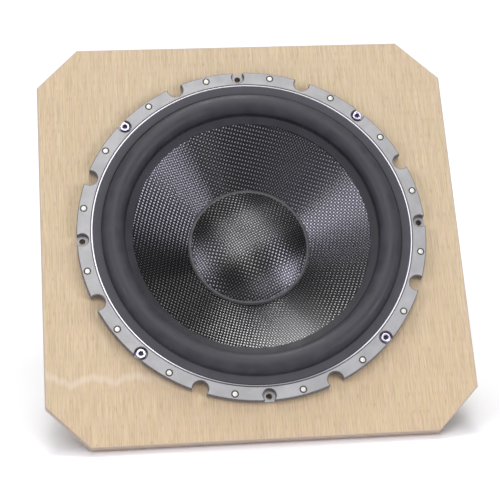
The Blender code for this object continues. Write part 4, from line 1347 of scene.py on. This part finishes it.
def terminal_frame():
    """The middle of the top spoke's rear face: X across it, Y down along it and Z away from it."""
    upper, lower = (Vector((0, *point)) for point in SPOKE_BACK)
    along = (lower - upper).normalized()
    across = Vector((1, 0, 0))
    away = across.cross(along)
    rows = Matrix((across, along, away)).transposed().to_4x4()
    return Matrix.Translation((upper + lower) / 2) @ rows


def terminals():
    """The block on the top spoke, its two riveted tabs and the leads."""
    spot = terminal_frame()
    width, length, height = TERMINAL_BLOCK
    cage = Cage()
    block = rectangle(width, length, TERMINAL_BLOCK_CORNER)
    add_plate(cage, [block], GAP + height, GAP, 0.0005, spot)
    piece("terminal_board", cage, (PHENOLIC,), ["terminal_block"])
    tab_width, tab_length, tab_height = TERMINAL_TAB
    bottom = GAP + height + GAP
    for name, side in (("positive", 1), ("negative", -1)):
        x = side * TERMINAL_SPACING / 2
        home = spot @ Matrix.Translation((x, TERMINAL_TAB_SHIFT, 0))
        eye_hole = circle(TERMINAL_EYE_RADIUS, (0, TERMINAL_EYE_INSET - tab_length / 2), TINY_SEGMENTS)
        cage = Cage()
        outline = rectangle(tab_width, tab_length, TERMINAL_TAB_CORNER)
        add_plate(cage, [outline, eye_hole], bottom + tab_height, bottom, FINE_EDGE, home)
        for shift in RIVET_PLACES:
            dome = home @ Matrix.Translation((0, shift, bottom + tab_height - 0.0001))
            add_turned(cage, RIVET_DOME, TINY_SEGMENTS, dome, closed=False)
        piece(f"terminal_blade_{name}", cage, (BRASS,), [f"terminal_tab_{name}"])
        start = spot @ Vector((x, TERMINAL_TAB_SHIFT + tab_length / 2 + GAP, bottom + tab_height / 2))
        tinsel_lead(name, start, side)


def tinsel_lead(name, start, side):
    """A slack lead of three twisted strands from a tab to the side of the former."""
    along = terminal_frame().to_3x3() @ Vector((0, 1, 0))
    x = side * LEAD_NECK_SIDE
    end = Vector((x, math.sqrt(FORMER_RADIUS**2 - x**2) + LEAD_NECK_CLEARANCE, LEAD_NECK_HEIGHT))
    after_start, before_end = start + along * LEAD_START_REACH, end + Vector(LEAD_END_REACH)
    route = interpolate_bezier(start, after_start, before_end, end, LEAD_POINTS)
    run = [0]
    for before, after in zip(route, route[1:]):
        run.append(run[-1] + (after - before).length)
    cage = Cage()
    offset = LEAD_RADIUS - LEAD_STRAND_RADIUS
    for strand in range(LEAD_STRANDS):
        path = []
        for number, centre in enumerate(route):
            ahead = route[min(number + 1, LEAD_POINTS - 1)] - route[max(number - 1, 0)]
            sideways = Vector((1, 0, 0))
            upward = ahead.normalized().cross(sideways).normalized()
            turn = math.tau * (run[number] / LEAD_TWIST + strand / LEAD_STRANDS)
            path.append(centre + offset * (sideways * math.cos(turn) + upward * math.sin(turn)))
        add_tube(cage, path, LEAD_STRAND_RADIUS)

    def share(point):
        nearest = min(range(LEAD_POINTS), key=lambda i: (route[i] - point).length_squared)
        return smooth_share(run[nearest] / run[-1], *LEAD_FIXED_ENDS)

    node = f"tinsel_lead_{name}"
    flexing_piece(f"braided_lead_{name}", cage, (TINSEL,), [node], share)


# ---- Stage, light and camera ----


def stage():
    """A pale floor."""
    floor = Finish("pale_floor", FLOOR_COLOUR, 0.9)
    floor.roughness(floor.span(floor.noise(0.3), 0.3, 0.7, 0.85, 0.95))
    floor.fill(floor.shader["Emission Color"], WHITE)
    floor.fill(floor.shader["Emission Strength"], FLOOR_GLOW)
    cage = Cage()
    cage.add([(*corner, 0) for corner in rectangle(FLOOR_SIDE, FLOOR_SIDE, 0)], [[0, 1, 2, 3]])
    obj = added("floor", mesh_of("floor", cage, (floor.material,), Matrix()))
    obj.visible_glossy = False  # so that the glossy weave mirrors the darker room


def lights():
    """A pale room and its soft lamps."""
    world = bpy.data.worlds.new("room")
    world.use_nodes = True
    background = world.node_tree.nodes["Background"]
    background.inputs["Color"].default_value = (1, 1, 1, 1)
    background.inputs["Strength"].default_value = ROOM_STRENGTH
    bpy.context.scene.world = world
    for name, direction, strength, colour in LAMPS:
        data = bpy.data.lights.new(name, "SUN")
        data.energy = strength
        data.angle = LAMP_WIDTH
        data.color = colour
        added(name, data).rotation_euler = Vector(direction).to_track_quat("Z", "Y").to_euler()


def camera():
    """The camera, placed in board sides from the middle of the board's face."""
    data = bpy.data.cameras.new("camera")
    data.lens = CAMERA_LENS
    obj = added("camera", data)
    eye, aim = (BOARD @ (Vector(point) * BOARD_SIDE) for point in (CAMERA_PLACE, CAMERA_AIM))
    turn = (aim - eye).to_track_quat("-Z", "Y").to_matrix().to_4x4()
    obj.matrix_world = Matrix.Translation(eye) @ turn @ Matrix.Rotation(CAMERA_ROLL, 4, "Z")
    bpy.context.scene.camera = obj


camera()
stage()
lights()
baffle_board()
basket()
grille_magnets()
screws(
    "socket_screw", BOLT_ANGLES[1::2], BOLT_CIRCLE_RADIUS,
    COUNTERBORE_FLOOR + GAP, MOUNTING_SCREW_LENGTH, CHROME, "mounting_screw",
)
tee_nuts()
surround()
spider()
cone()
dust_cap()
voice_coil()
motor()
vent_screen()
screws(
    "motor_bolt", even_angles(MOTOR_SCREW_COUNT), MOTOR_SCREW_CIRCLE,
    BOWL_FLOOR + GAP, MOTOR_SCREW_LENGTH, BLACK_STEEL, "motor_screw",
)
terminals()
bpy.context.scene.view_settings.view_transform = "Standard"
